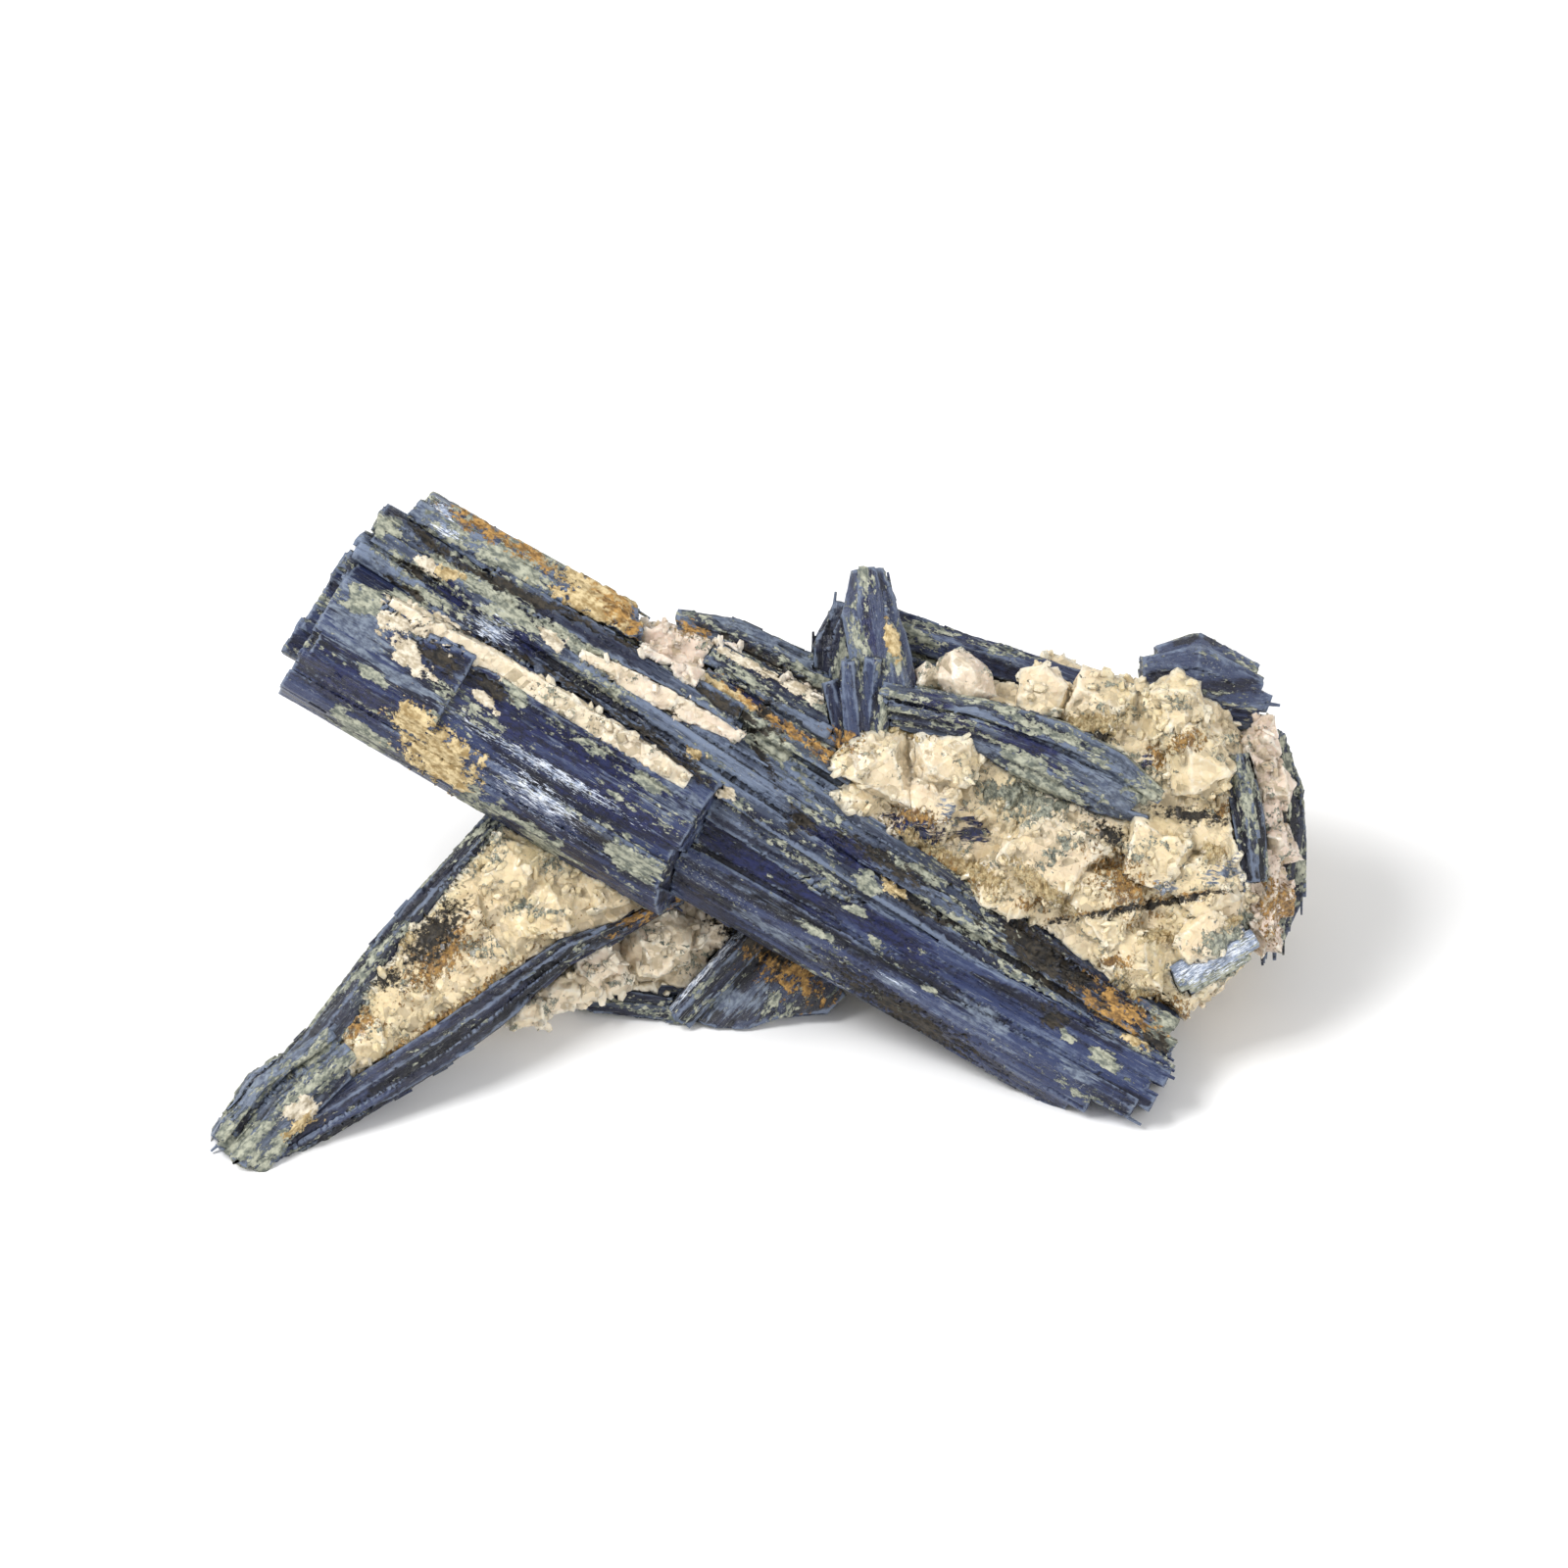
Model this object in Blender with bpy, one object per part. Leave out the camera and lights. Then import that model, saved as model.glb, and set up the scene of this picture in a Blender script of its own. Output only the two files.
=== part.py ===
"""A hand specimen of blue kyanite blades grown through pale quartz.

The specimen is drawn face on, in millimetres: x to the right, y up and n towards the viewer.
An empty leans it back, so that it rests on its arm, on the toe of its lower blade and on the
broken bottom of its quartz. Each blade is a bundle of thin laminae that run its whole length
and end unevenly, as kyanite does, and each mass of quartz is a body with faceted grains.
"""

import math
import random

import bmesh
import bpy
from mathutils import Matrix, Vector

# Driving dimensions, in millimetres and degrees. The specimen measures 130 by 80 face on.
MM = 0.001
LEAN = 50.0
SLAB_HEADING = -31.0
FLOOR = -25.0
JOINT_GAP = 0.3
SLAB_LEFT = -57.6
FRONT_BLADE_END = -6.6
BLOCK_DEPTH = 33.0
FLAT_ANGLE = math.radians(3.0)
WELD = 8e-6
# Ways to simplify a Boolean's result: angle to flatten, distance to weld, way to split quads.
TIDY_STEPS = (
    (FLAT_ANGLE, WELD, "BEAUTY"),
    (FLAT_ANGLE, WELD, "LONG_EDGE"),
    (FLAT_ANGLE / 4, WELD / 8, "BEAUTY"),
    (0.0, 0.0, "BEAUTY"),
    (0.0, 0.0, "FIXED"),
    (0.0, 0.0, "ALTERNATE"),
    (0.0, 0.0, "LONG_EDGE"),
)

# Colours, roughness: (red, green, blue), roughness.
BLUE = ((0.045, 0.062, 0.16), 0.35)
DARK_BLUE = ((0.018, 0.024, 0.055), 0.4)
GREY_BLUE = ((0.13, 0.17, 0.2), 0.5)
QUARTZ = ((0.6, 0.5, 0.36), 0.45)
PINK_QUARTZ = ((0.55, 0.42, 0.33), 0.45)


def slab(s, t, n=0.0):
    """A point s along the main slab, t across it and n towards the viewer."""
    turn = math.radians(SLAB_HEADING)
    x = s * math.cos(turn) - t * math.sin(turn)
    y = s * math.sin(turn) + t * math.cos(turn)
    return (x, y, n)


def clip_band(section, low, high):
    """The part of a convex section whose first coordinate lies from low to high."""
    for sign, limit in ((1, low), (-1, -high)):
        kept = []
        for here, there in zip(section, section[1:] + section[:1]):
            a = sign * here[0] - limit
            b = sign * there[0] - limit
            if a >= 0:
                kept.append(here)
            if a * b < 0:
                share = a / (a - b)
                across = here[0] + share * (there[0] - here[0])
                depth = here[1] + share * (there[1] - here[1])
                kept.append((across, depth))
        section = kept
    return section


def ring_frames(path):
    """Each point of a path with its directions along, across and outwards."""
    points = [Vector(p) for p in path]
    frames = []
    for i, point in enumerate(points):
        before = points[max(i - 1, 0)]
        after = points[min(i + 1, len(points) - 1)]
        along = (after - before).normalized()
        across = Vector((0, 0, 1)).cross(along).normalized()
        frames.append((point, along, across, along.cross(across)))
    return frames


def loft(rings):
    """A closed mesh through rings of equally many points."""
    bm = bmesh.new()
    rows = [[bm.verts.new(p * MM) for p in ring] for ring in rings]
    count = len(rows[0])
    for low, high in zip(rows, rows[1:]):
        for i in range(count):
            j = (i + 1) % count
            bm.faces.new((low[i], low[j], high[j], high[i]))
    bm.faces.new(reversed(rows[0]))
    bm.faces.new(rows[-1])
    return finished_mesh(bm)


def finished_mesh(bm):
    """The bmesh as triangles that face outwards."""
    bmesh.ops.triangulate(bm, faces=bm.faces[:])
    bmesh.ops.recalc_face_normals(bm, faces=bm.faces[:])
    mesh = bpy.data.meshes.new("stone")
    bm.to_mesh(mesh)
    bm.free()
    return mesh


def sweep(path, section, widths, thicks, slants):
    """The section carried along the path. slants lean its two end faces."""
    frames = ring_frames(path)
    rings = []
    for i, (point, along, across, out) in enumerate(frames):
        lean_across, lean_out = (0.0, 0.0)
        if i == 0:
            lean_across, lean_out = slants[0]
        if i == len(frames) - 1:
            lean_across, lean_out = slants[1]
        ring = []
        for a, b in section:
            a, b = a * widths[i], b * thicks[i]
            ring.append(point + across * a + out * b + along * (lean_across * a + lean_out * b))
        rings.append(ring)
    return loft(rings)


def object_of(name, mesh):
    thing = bpy.data.objects.new(name, mesh)
    bpy.context.scene.collection.objects.link(thing)
    return thing


def boolean(mesh, others, operation, cross_itself):
    """The mesh joined with the others, or cut by them, through Boolean modifiers."""
    thing = object_of("stone", mesh)
    helpers = [object_of("helper", other) for other in others]
    for helper in helpers:
        modifier = thing.modifiers.new("shape", "BOOLEAN")
        modifier.solver = "EXACT"
        modifier.use_self = cross_itself
        modifier.operation = operation
        modifier.object = helper
    bpy.context.view_layer.update()
    graph = bpy.context.evaluated_depsgraph_get()
    result = bpy.data.meshes.new_from_object(thing.evaluated_get(graph))
    for helper in helpers + [thing]:
        bpy.data.objects.remove(helper)
    return result


def shaped(mesh, others, operation):
    """The tidied Boolean result, worked out the more patient way if the quick one isn't closed."""
    for cross_itself in (False, True):
        result = boolean(mesh, others, operation, cross_itself)
        for angle, weld, split in TIDY_STEPS:
            solid = tidied(result, angle, weld, split)
            if solid:
                return solid
    raise RuntimeError("a Boolean left an open mesh")


def separate_pieces(bm):
    """The faces of each connected piece, the largest piece last."""
    pieces = []
    waiting = set(bm.faces)
    while waiting:
        piece = [waiting.pop()]
        for face in piece:
            near = {f for e in face.edges for f in e.link_faces} & waiting
            waiting -= near
            piece.extend(near)
        pieces.append(piece)
    return sorted(pieces, key=lambda piece: sum(f.calc_area() for f in piece))


def tidied(mesh, angle, weld, split):
    """The mesh with flat faces simplified and crumbs removed, or nothing if that opens it."""
    bm = bmesh.new()
    bm.from_mesh(mesh)
    if weld:
        bmesh.ops.remove_doubles(bm, verts=bm.verts[:], dist=weld)
        bmesh.ops.dissolve_limit(bm, angle_limit=angle, verts=bm.verts[:], edges=bm.edges[:])
    bmesh.ops.triangulate(bm, faces=bm.faces[:], quad_method=split)
    if weld:
        bmesh.ops.dissolve_degenerate(bm, edges=bm.edges[:], dist=weld)
        bmesh.ops.triangulate(bm, faces=bm.faces[:])
    pieces = separate_pieces(bm)
    closed = pieces and all(len(e.link_faces) == 2 for e in bm.edges)
    crumbs = [f for piece in pieces[:-1] for f in piece]
    if crumbs:
        bmesh.ops.delete(bm, geom=crumbs, context="FACES")
    solid = bpy.data.meshes.new("stone")
    bm.to_mesh(solid)
    bm.free()
    return solid if closed else None


def joined(meshes):
    return shaped(meshes[0], meshes[1:], "UNION")


def laminae(path, section, strips, seed, end_play=1.2, lift_play=0.35,
            widths=None, thicks=None, slants=((0, 0), (0, 0)), ends=None):
    """The meshes of a blade's laminae: bands of its section that end unevenly.

    ends gives each band's own start and end offset, where the blade has a known step.
    """
    chance = random.Random(seed)
    widths = widths or [1.0] * len(path)
    thicks = thicks or [1.0] * len(path)
    low, high = min(p[0] for p in section), max(p[0] for p in section)
    edges = [low + (high - low) * i / strips for i in range(strips + 1)]
    for i in range(1, strips):
        edges[i] += chance.uniform(-0.2, 0.2) * (high - low) / strips
    overlap = 0.12 * (high - low) / strips
    frames = ring_frames(path)
    made = []
    for i in range(strips):
        band = clip_band(section, edges[i] - overlap, edges[i + 1] + overlap)
        start, end = chance.uniform(-end_play, end_play), chance.uniform(-end_play, end_play)
        if ends:
            start, end = start + ends[i][0], end + ends[i][1]
        lift = chance.uniform(-lift_play, lift_play)
        points = [p + out * lift for p, along, across, out in frames]
        points[0] += frames[0][1] * start
        points[-1] += frames[-1][1] * end
        made.append(sweep(points, band, widths, thicks, slants))
    return made


def grain(centre, radii, seed, points=15, turn=0.0):
    """A faceted grain of quartz: the hull of uneven points spread over a ball."""
    chance = random.Random(seed)
    bm = bmesh.new()
    for i in range(points):
        height = 1.0 - 2.0 * (i + 0.5) / points
        around = i * math.pi * (3.0 - math.sqrt(5.0)) + chance.uniform(-0.5, 0.5)
        reach = math.sqrt(1.0 - height * height)
        spot = Vector((reach * math.cos(around), reach * math.sin(around), height))
        bm.verts.new(spot * chance.uniform(0.86, 1.08))
    hull = bmesh.ops.convex_hull(bm, input=bm.verts[:])
    inside = [v for v in hull["geom_interior"] if isinstance(v, bmesh.types.BMVert)]
    bmesh.ops.delete(bm, geom=inside, context="VERTS")
    size = Matrix.Diagonal((*radii, 1.0))
    spin = Matrix.Rotation(math.radians(turn), 4, "Z")
    tumble = Matrix.Rotation(chance.uniform(0, math.pi), 4, "X")
    bmesh.ops.transform(
        bm, matrix=Matrix.Scale(MM, 4) @ Matrix.Translation(centre) @ spin @ size @ tumble,
        verts=bm.verts[:],
    )
    return finished_mesh(bm)


def boulder(outline, levels, seed, roughness=0.7):
    """A rough body: its outline repeated at several depths, each at its own scale."""
    chance = random.Random(seed)
    centre = sum((Vector(p) for p in outline), Vector((0, 0))) / len(outline)
    rings = []
    for depth, scale in levels:
        ring = []
        for p in outline:
            flat = centre + (Vector(p) - centre) * scale
            jitter = [chance.uniform(-roughness, roughness) for _ in range(3)]
            ring.append(Vector((flat.x, flat.y, depth)) + Vector(jitter))
        rings.append(ring)
    return loft(rings)


def plate(outline, front, back):
    """A flat piece of this outline, by an extruded curve whose caps are welded on."""
    curve = bpy.data.curves.new("outline", "CURVE")
    curve.dimensions = "2D"
    curve.fill_mode = "BOTH"
    curve.extrude = (front - back) / 2 * MM
    spline = curve.splines.new("POLY")
    spline.points.add(len(outline) - 1)
    for point, (x, y) in zip(spline.points, outline):
        point.co = (x * MM, y * MM, 0, 1)
    spline.use_cyclic_u = True
    guide = object_of("outline", curve)
    guide.location.z = (front + back) / 2 * MM
    bpy.context.view_layer.update()
    graph = bpy.context.evaluated_depsgraph_get()
    mesh = bpy.data.meshes.new_from_object(guide.evaluated_get(graph))
    mesh.transform(guide.matrix_world)
    bpy.data.objects.remove(guide)
    bm = bmesh.new()
    bm.from_mesh(mesh)
    bmesh.ops.remove_doubles(bm, verts=bm.verts[:], dist=WELD)
    return finished_mesh(bm)


def front_blade():
    """The thick blade in front, cut square at the crossing, with the plates behind its left end."""
    section = [
        (9.0, -9.0), (8.8, 5.5), (6.5, 8.3), (3.0, 9.8), (-4.0, 8.4),
        (-8.2, 3.2), (-9.4, -3.5), (-6.5, -9.5), (2.0, -11.0),
    ]
    body = laminae(
        [slab(SLAB_LEFT, -6), slab(FRONT_BLADE_END, -6)], section, 6, seed=4,
        end_play=0.3, lift_play=0.4, widths=[1.0, 0.94], slants=((0.04, 0), (0, -0.16)),
    )
    step = laminae(
        [slab(SLAB_LEFT + 0.4, -6.0), slab(-39.6, -6.0)],
        [(8.2, 6.0), (6.2, 9.4), (3.2, 10.6), (-3.4, 9.2), (-5.4, 7.0)], 2, seed=8,
        end_play=0.5, lift_play=0.2,
    )
    end_plates = laminae(
        [slab(-60.0, -4.0), slab(-50.0, -4.0)],
        [(7.0, -7.5), (6.8, -1.0), (-7.0, -0.5), (-7.2, -8.0)], 4, seed=15, end_play=0.4,
    )
    return body + step + end_plates, BLUE


def long_blade():
    """The blade that runs the whole slab, from the upper left corner to the lower right end."""
    section = [
        (4.0, -10.0), (4.2, 2.0), (2.5, 5.2), (-2.5, 5.6), (-6.0, 4.5), (-6.0, -8.0), (-1.0, -12.0),
    ]
    body = laminae(
        [(-47.0, 35.4, 1.0), (0.0, 4.6, 0.0), (47.4, -25.6, -1.5)], section, 7, seed=21,
        end_play=0.9, lift_play=0.6, thicks=[1.0, 1.0, 0.8],
    )
    swell = laminae(
        [slab(-45.0, 6.1, 0.1), slab(-8.0, 7.0, 0.1)],
        [(4.5, -9.0), (4.6, 3.6), (2.0, 5.4), (-3.0, 5.4), (-3.0, -9.0)], 3, seed=27, end_play=3.0,
    )
    return body + swell, BLUE


def lower_blade():
    """The broad dark blade at lower right. Its lowest laminae stop short of its toe."""
    section = [
        (6.3, -6.5), (6.0, 0.5), (4.2, 3.6), (-1.5, 4.2), (-4.0, 1.6), (-6.2, -3.0),
        (-5.8, -7.0), (-1.0, -9.0),
    ]
    short = [(0, -8.0), (0, -6.5), (0, -1.5), (0, 0.4), (0, -0.6), (0, 0.3), (0, -1.0)]
    body = laminae(
        [(-15.5, 2.5, -1.0), (15.0, -14.8, 0.5), (45.8, -32.0, 2.0)], section, 7, seed=33,
        end_play=0.8, lift_play=0.35, thicks=[1.0, 1.0, 0.8], ends=short,
    )
    return body, BLUE


def top_blade():
    """The thin blade along the upper left edge."""
    section = [(2.6, -6.0), (2.8, 0.5), (1.5, 3.2), (-3.2, 3.8), (-3.5, -8.0)]
    body = laminae(
        [slab(-55.4, 11.4), slab(-25.0, 12.3)], section, 4, seed=41,
        end_play=1.0, slants=((0.15, 0), (-0.6, 0)),
    )
    return body, GREY_BLUE


def ridge_blade_near():
    section = [(2.6, -8.0), (2.4, 1.6), (-0.5, 3.0), (-3.0, 2.4), (-3.0, -8.0)]
    body = laminae(
        [slab(-15.5, 10.8), slab(6.5, 10.4)], section, 4, seed=47, end_play=2.2, lift_play=0.7,
    )
    return body, GREY_BLUE


def ridge_blade_middle():
    section = [(2.4, -8.5), (2.3, 0.2), (0.2, 1.7), (-2.6, 0.9), (-2.6, -8.0)]
    body = laminae(
        [(-6.6, 20.6, 0.4), (9.0, 12.0, 0.8)], section, 4, seed=52, end_play=1.8, lift_play=0.6,
    )
    return body, GREY_BLUE


def ridge_blade_far():
    section = [(2.4, -9.0), (2.6, -1.5), (0.8, 0.0), (-2.8, -0.4), (-2.8, -9.0)]
    body = laminae(
        [(-11.2, 24.6, -2.0), (-4.0, 23.0, -2.0), (9.6, 16.2, -2.0)], section, 4, seed=58,
        end_play=1.0, lift_play=0.5, widths=[0.75, 1.0, 1.0],
    )
    return body, DARK_BLUE


def upright_blade():
    """The blade that stands up, with the fan of splinters at its foot."""
    section = [(3.3, -1.6), (3.4, 0.3), (1.6, 1.7), (-1.8, 1.5), (-3.4, -0.2), (-3.2, -1.7)]
    meshes = laminae(
        [(15.3, 15.0, 1.5), (14.1, 19.5, 1.6), (12.6, 26.4, 0.6), (12.2, 31.3, -0.2)],
        section, 3, seed=61, end_play=0.45, lift_play=0.2, widths=[1.0, 1.03, 0.96, 0.52],
        thicks=[1.3, 1.2, 1.0, 0.8],
    )
    fan_foot = Vector((10.3, 9.6, 2.0))
    tips = [(7.8, 17.8, 1.9), (10.2, 20.2, 3.2), (12.9, 20.6, 3.8), (14.6, 16.6, 3.4)]
    for i, tip in enumerate(tips):
        foot = fan_foot + Vector((0.7 * i, 0.2 * i, 0.2 * (i % 2)))
        splinter = [(1.5, -2.4), (1.4, 0.5), (-0.4, 1.0), (-1.5, 0.3), (-1.4, -2.4)]
        meshes += laminae(
            [foot, tip], splinter, 1, seed=71 + i, end_play=0.6, lift_play=0.3, widths=[1.0, 0.6],
        )
    return meshes, GREY_BLUE


def dark_stub():
    """The short dark crystal behind the upright blade."""
    section = [(3.2, -3.0), (3.0, 1.6), (-3.0, 2.0), (-3.2, -3.0)]
    body = laminae(
        [(9.5, 16.0, -4.5), (8.9, 22.0, -4.2), (10.0, 26.4, -4.0)], section, 3, seed=81,
        end_play=0.7, lift_play=0.4, widths=[1.1, 1.0, 0.5],
    )
    return body, DARK_BLUE


def rear_blade():
    """The long dark blade behind the quartz at the top right."""
    section = [(2.6, -6.0), (2.7, 0.4), (1.2, 1.6), (-3.0, 0.8), (-3.2, -6.0)]
    body = laminae(
        [(13.5, 24.3, -4.6), (41.0, 15.3, -6.4)], section, 5, seed=87, end_play=1.4, lift_play=0.5,
    )
    return body, DARK_BLUE


def corner_crystal():
    """The blue lump at the top right corner, stepped at its left."""
    section = [(4.6, -5.5), (4.8, 1.0), (2.6, 4.0), (-2.0, 4.8), (-4.8, 2.0), (-4.6, -6.0)]
    steps = [(3.0, -0.6), (1.2, 0.0), (0.0, 0.3), (0.4, -0.4), (2.4, -1.8)]
    body = laminae(
        [(44.8, 18.4, -4.5), (51.0, 19.1, -4.7), (59.0, 15.8, -5.6)], section, 5,
        seed=92, end_play=0.5, lift_play=0.5, ends=steps, widths=[0.74, 1.0, 0.8],
        thicks=[0.7, 1.0, 0.7],
    )
    return body, BLUE


def curved_blade():
    """The bent blade that lies on the quartz, with its pale lower flank."""
    section = [(2.5, -3.0), (2.3, 1.0), (0.4, 2.0), (-2.2, 1.1), (-5.6, -0.4), (-5.8, -3.0)]
    body = laminae(
        [(14.2, 16.4, 2.8), (25.6, 14.0, 3.8), (34.9, 10.6, 4.4), (41.4, 7.2, 4.2), (45.8, 4.2, 3.4)],
        section, 4, seed=97, end_play=1.6, lift_play=0.45, widths=[0.6, 0.72, 1.0, 0.95, 0.55],
    )
    return body, GREY_BLUE


def side_blade_inner():
    section = [(1.7, -8.0), (1.6, 1.6), (-0.3, 2.4), (-1.7, 1.2), (-1.8, -8.0)]
    body = laminae(
        [(56.2, 8.6, 0.0), (57.4, 2.0, 0.4), (58.2, -5.0, 0.0)], section, 2, seed=105,
        end_play=1.0, lift_play=0.5, widths=[0.8, 1.1, 0.8],
    )
    return body, DARK_BLUE


def side_blade_outer():
    section = [(1.9, -8.5), (1.9, 0.5), (0.0, 1.8), (-2.0, 0.6), (-2.2, -7.0)]
    body = laminae(
        [(60.8, 11.0, -5.6), (62.4, 5.0, -6.0), (62.9, -2.0, -6.4), (62.2, -8.0, -7.0), (60.2, -13.6, -8.0)],
        section, 2, seed=108, end_play=0.8, lift_play=0.4, widths=[0.7, 0.95, 1.0, 0.95, 0.7],
    )
    return body, DARK_BLUE


def pale_plate():
    """The shiny pale blade at the lower right of the quartz."""
    section = [(1.8, -2.6), (1.9, 0.0), (0.4, 0.8), (-1.9, -0.1), (-1.8, -2.6)]
    body = laminae(
        [(49.4, -17.4, 2.6), (57.4, -12.8, 1.8)], section, 3, seed=113, end_play=0.9, lift_play=0.25,
    )
    return body, GREY_BLUE


def arm_upper_blade():
    """The thin blade along the arm's upper edge."""
    section = [(1.5, -6.5), (1.6, 0.4), (0.2, 1.3), (-1.6, 0.6), (-1.5, -6.5)]
    body = laminae(
        [(-62.6, -34.6, 7.0), (-52.2, -24.0, 5.0), (-43.8, -12.4, 1.0), (-32.8, 0.0, -4.0),
         (-28.0, 5.7, -6.5)],
        section, 3, seed=118, end_play=0.8, lift_play=0.3, widths=[0.9, 1.1, 1.0, 0.9, 0.9],
    )
    return body, GREY_BLUE


def arm_lower_blade():
    """The dark blade along the arm's lower edge, narrow where it passes under the slab."""
    section = [(2.2, -6.0), (2.2, 0.6), (0.6, 1.3), (-2.1, -0.4), (-2.2, -5.5)]
    body = laminae(
        [(-60.0, -38.6, 7.2), (-38.4, -25.3, 3.0), (-32.6, -21.1, 1.2), (-23.5, -14.0, -2.6),
         (-16.3, -10.9, -5.4), (-9.5, -7.4, -8.0)],
        section, 3, seed=123, end_play=0.9, lift_play=0.3,
        widths=[0.9, 1.0, 0.98, 0.62, 0.36, 0.3], thicks=[0.9] + [1.0] * 5,
    )
    return body, DARK_BLUE


def arm_tip():
    """The splintered end of the arm."""
    section = [(4.6, -4.5), (4.4, 1.0), (1.0, 2.2), (-3.4, 1.2), (-4.4, -4.5)]
    body = laminae(
        [(-50.5, -25.8, 5.2), (-57.5, -31.4, 6.6), (-62.4, -37.8, 7.4)], section, 4, seed=131,
        end_play=1.3, lift_play=0.7, widths=[0.8, 1.0, 0.86],
    )
    return body, GREY_BLUE


def foot_blade():
    """The blue blade below the crossing: a broad face with a narrow one along its left edge."""
    face = [
        (-9.9, -20.6), (-9.4, -22.2), (-5.8, -23.4), (-1.8, -23.4), (2.0, -22.0), (7.5, -21.6),
        (9.5, -19.5), (5.5, -14.0), (-1.2, -10.0), (-3.0, -11.2),
    ]
    ridge = laminae(
        [(-10.6, -22.4, -11.5), (-1.0, -11.8, -9.5)],
        [(1.7, -9.0), (1.5, 0.8), (0.2, 2.3), (-1.8, 1.4), (-1.8, -9.0)], 3, seed=137,
        end_play=0.5, lift_play=0.3,
    )
    return [plate(face, -10.2, -24.0)] + ridge, BLUE


def foot_plate():
    """The layered plate under the arm's end of the quartz."""
    layers = []
    for i in range(3):
        low = -22.6 + 1.3 * i
        outline = [
            (-23.1 + 0.7 * i, low + 2.3), (-21.0 + 0.5 * i, low + 1.1),
            (-9.0 - 0.1 * i, low - 0.4), (-8.6, low + 1.2), (-16.0, low + 2.1),
        ]
        layers.append(plate(outline, -11.2 - 0.5 * (i % 3), -25.0))
    return layers, GREY_BLUE


def back_blade():
    """A blade across the hidden back."""
    section = [(4.2, 3.0), (4.4, -1.2), (1.5, -2.6), (-3.6, -2.2), (-4.4, -0.6), (-4.0, 3.0)]
    body = laminae(
        [(-8.0, 12.0, -21.0), (20.0, 6.5, -29.0), (50.0, 1.0, -31.0)], section, 5, seed=143,
        end_play=2.0, lift_play=0.5, widths=[0.7, 1.0, 0.9],
    )
    return body, BLUE


def quartz_pebble():
    """The rounded grain beside the upright blade, with a small one at its left."""
    large = grain((23.7, 18.4, 1.6), (4.4, 3.4, 3.6), 149, 18, -35)
    small = grain((19.2, 18.2, -0.4), (2.5, 2.1, 3.0), 150, 12, 20)
    return [large, small], QUARTZ


def grain_row(spots, turn, seed, points=11):
    """Grains at each (point, half length, half width, height), turned one way."""
    meshes = []
    for i, (centre, half_length, half_width, height) in enumerate(spots):
        radii = (half_length, half_width, height)
        meshes.append(grain(centre, radii, seed + i, points, turn))
    return meshes


def vein(spots, widths, seed):
    """A thin strip of quartz through these points, set into the blade, with grains on it."""
    section = [(1.0, -1.3), (0.8, 0.45), (-0.8, 0.45), (-1.0, -1.3)]
    body = sweep(spots, section, widths, [1.0] * len(spots), ((0, 0), (0, 0)))
    rows = [(spot, 2.8, width * 1.08, 0.95) for spot, width in zip(spots[1::2], widths[1::2])]
    return [body] + grain_row(rows, SLAB_HEADING, seed, 9)


def quartz_vein():
    """The vein in the front blade's upper face, broad at its left end."""
    spots = [slab(-52.0, 0.0, 8.9), slab(-47.5, -0.8, 9.1), slab(-43.0, 0.0, 8.9)]
    spots += [slab(-38.0 + 5.4 * i, 0.9 - 0.08 * i, 8.1) for i in range(6)]
    return vein(spots, [1.5, 2.5, 1.9, 1.2, 1.3, 1.4, 1.5, 1.4, 1.0], 153), QUARTZ


def quartz_vein_upper():
    """The second vein, along the long blade's upper edge."""
    spots = [slab(-29.4 + 4.0 * i, 6.7 + 0.3 * i, 5.4) for i in range(6)]
    return vein(spots, [0.9, 1.4, 1.5, 1.4, 1.2, 0.8], 231), PINK_QUARTZ


def quartz_side():
    """The quartz down the right side: a rough strip with grains on it."""
    outline = [(57.0, 12.0), (60.4, 13.0), (61.4, 6.0), (61.8, -3.0), (61.2, -10.0), (59.6, -14.6),
               (57.4, -12.0), (57.6, 0.0)]
    meshes = [boulder(outline, [(0.2, 0.86), (-4.0, 1.0), (-9.0, 0.95)], 163, 0.4)]
    spots = [(59.4, 11.0, -1.6, 3.4), (60.7, 5.4, -2.0, 3.6), (60.7, -1.2, -2.4, 3.8),
             (60.4, -7.4, -3.0, 3.6), (59.2, -12.2, -4.0, 3.2)]
    for i, (x, y, n, radius) in enumerate(spots):
        radii = (radius * 0.82, radius, radius * 1.15)
        meshes.append(grain((x, y, n), radii, 163 + i, 9, 20.0 * i))
    return meshes, PINK_QUARTZ


def quartz_ridge():
    """The quartz between the blades of the ridge."""
    outline = [(-21.0, 23.8), (-15.4, 25.0), (-9.4, 24.2), (0.0, 20.0), (9.5, 15.0), (11.0, 9.0),
               (4.0, 7.0), (-6.0, 12.0), (-16.0, 18.0)]
    meshes = [boulder(outline, [(1.0, 0.9), (-3.0, 1.0), (-10.0, 0.95)], 171, 0.4)]
    spots = []
    for x, y, n, radius in (
        (-16.6, 22.8, 1.9, 2.6), (-11.4, 23.2, 0.4, 2.3), (-13.2, 20.6, 3.0, 2.5),
        (-9.4, 18.8, 3.1, 2.6), (-4.1, 21.2, -0.6, 2.0), (-0.6, 19.4, -0.6, 2.2), (2.8, 17.2, -0.2, 2.0),
    ):
        spots.append(((x, y, n), radius * 1.35, radius * 0.8, radius))
    return meshes + grain_row(spots, SLAB_HEADING, 173, 10), PINK_QUARTZ


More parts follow.
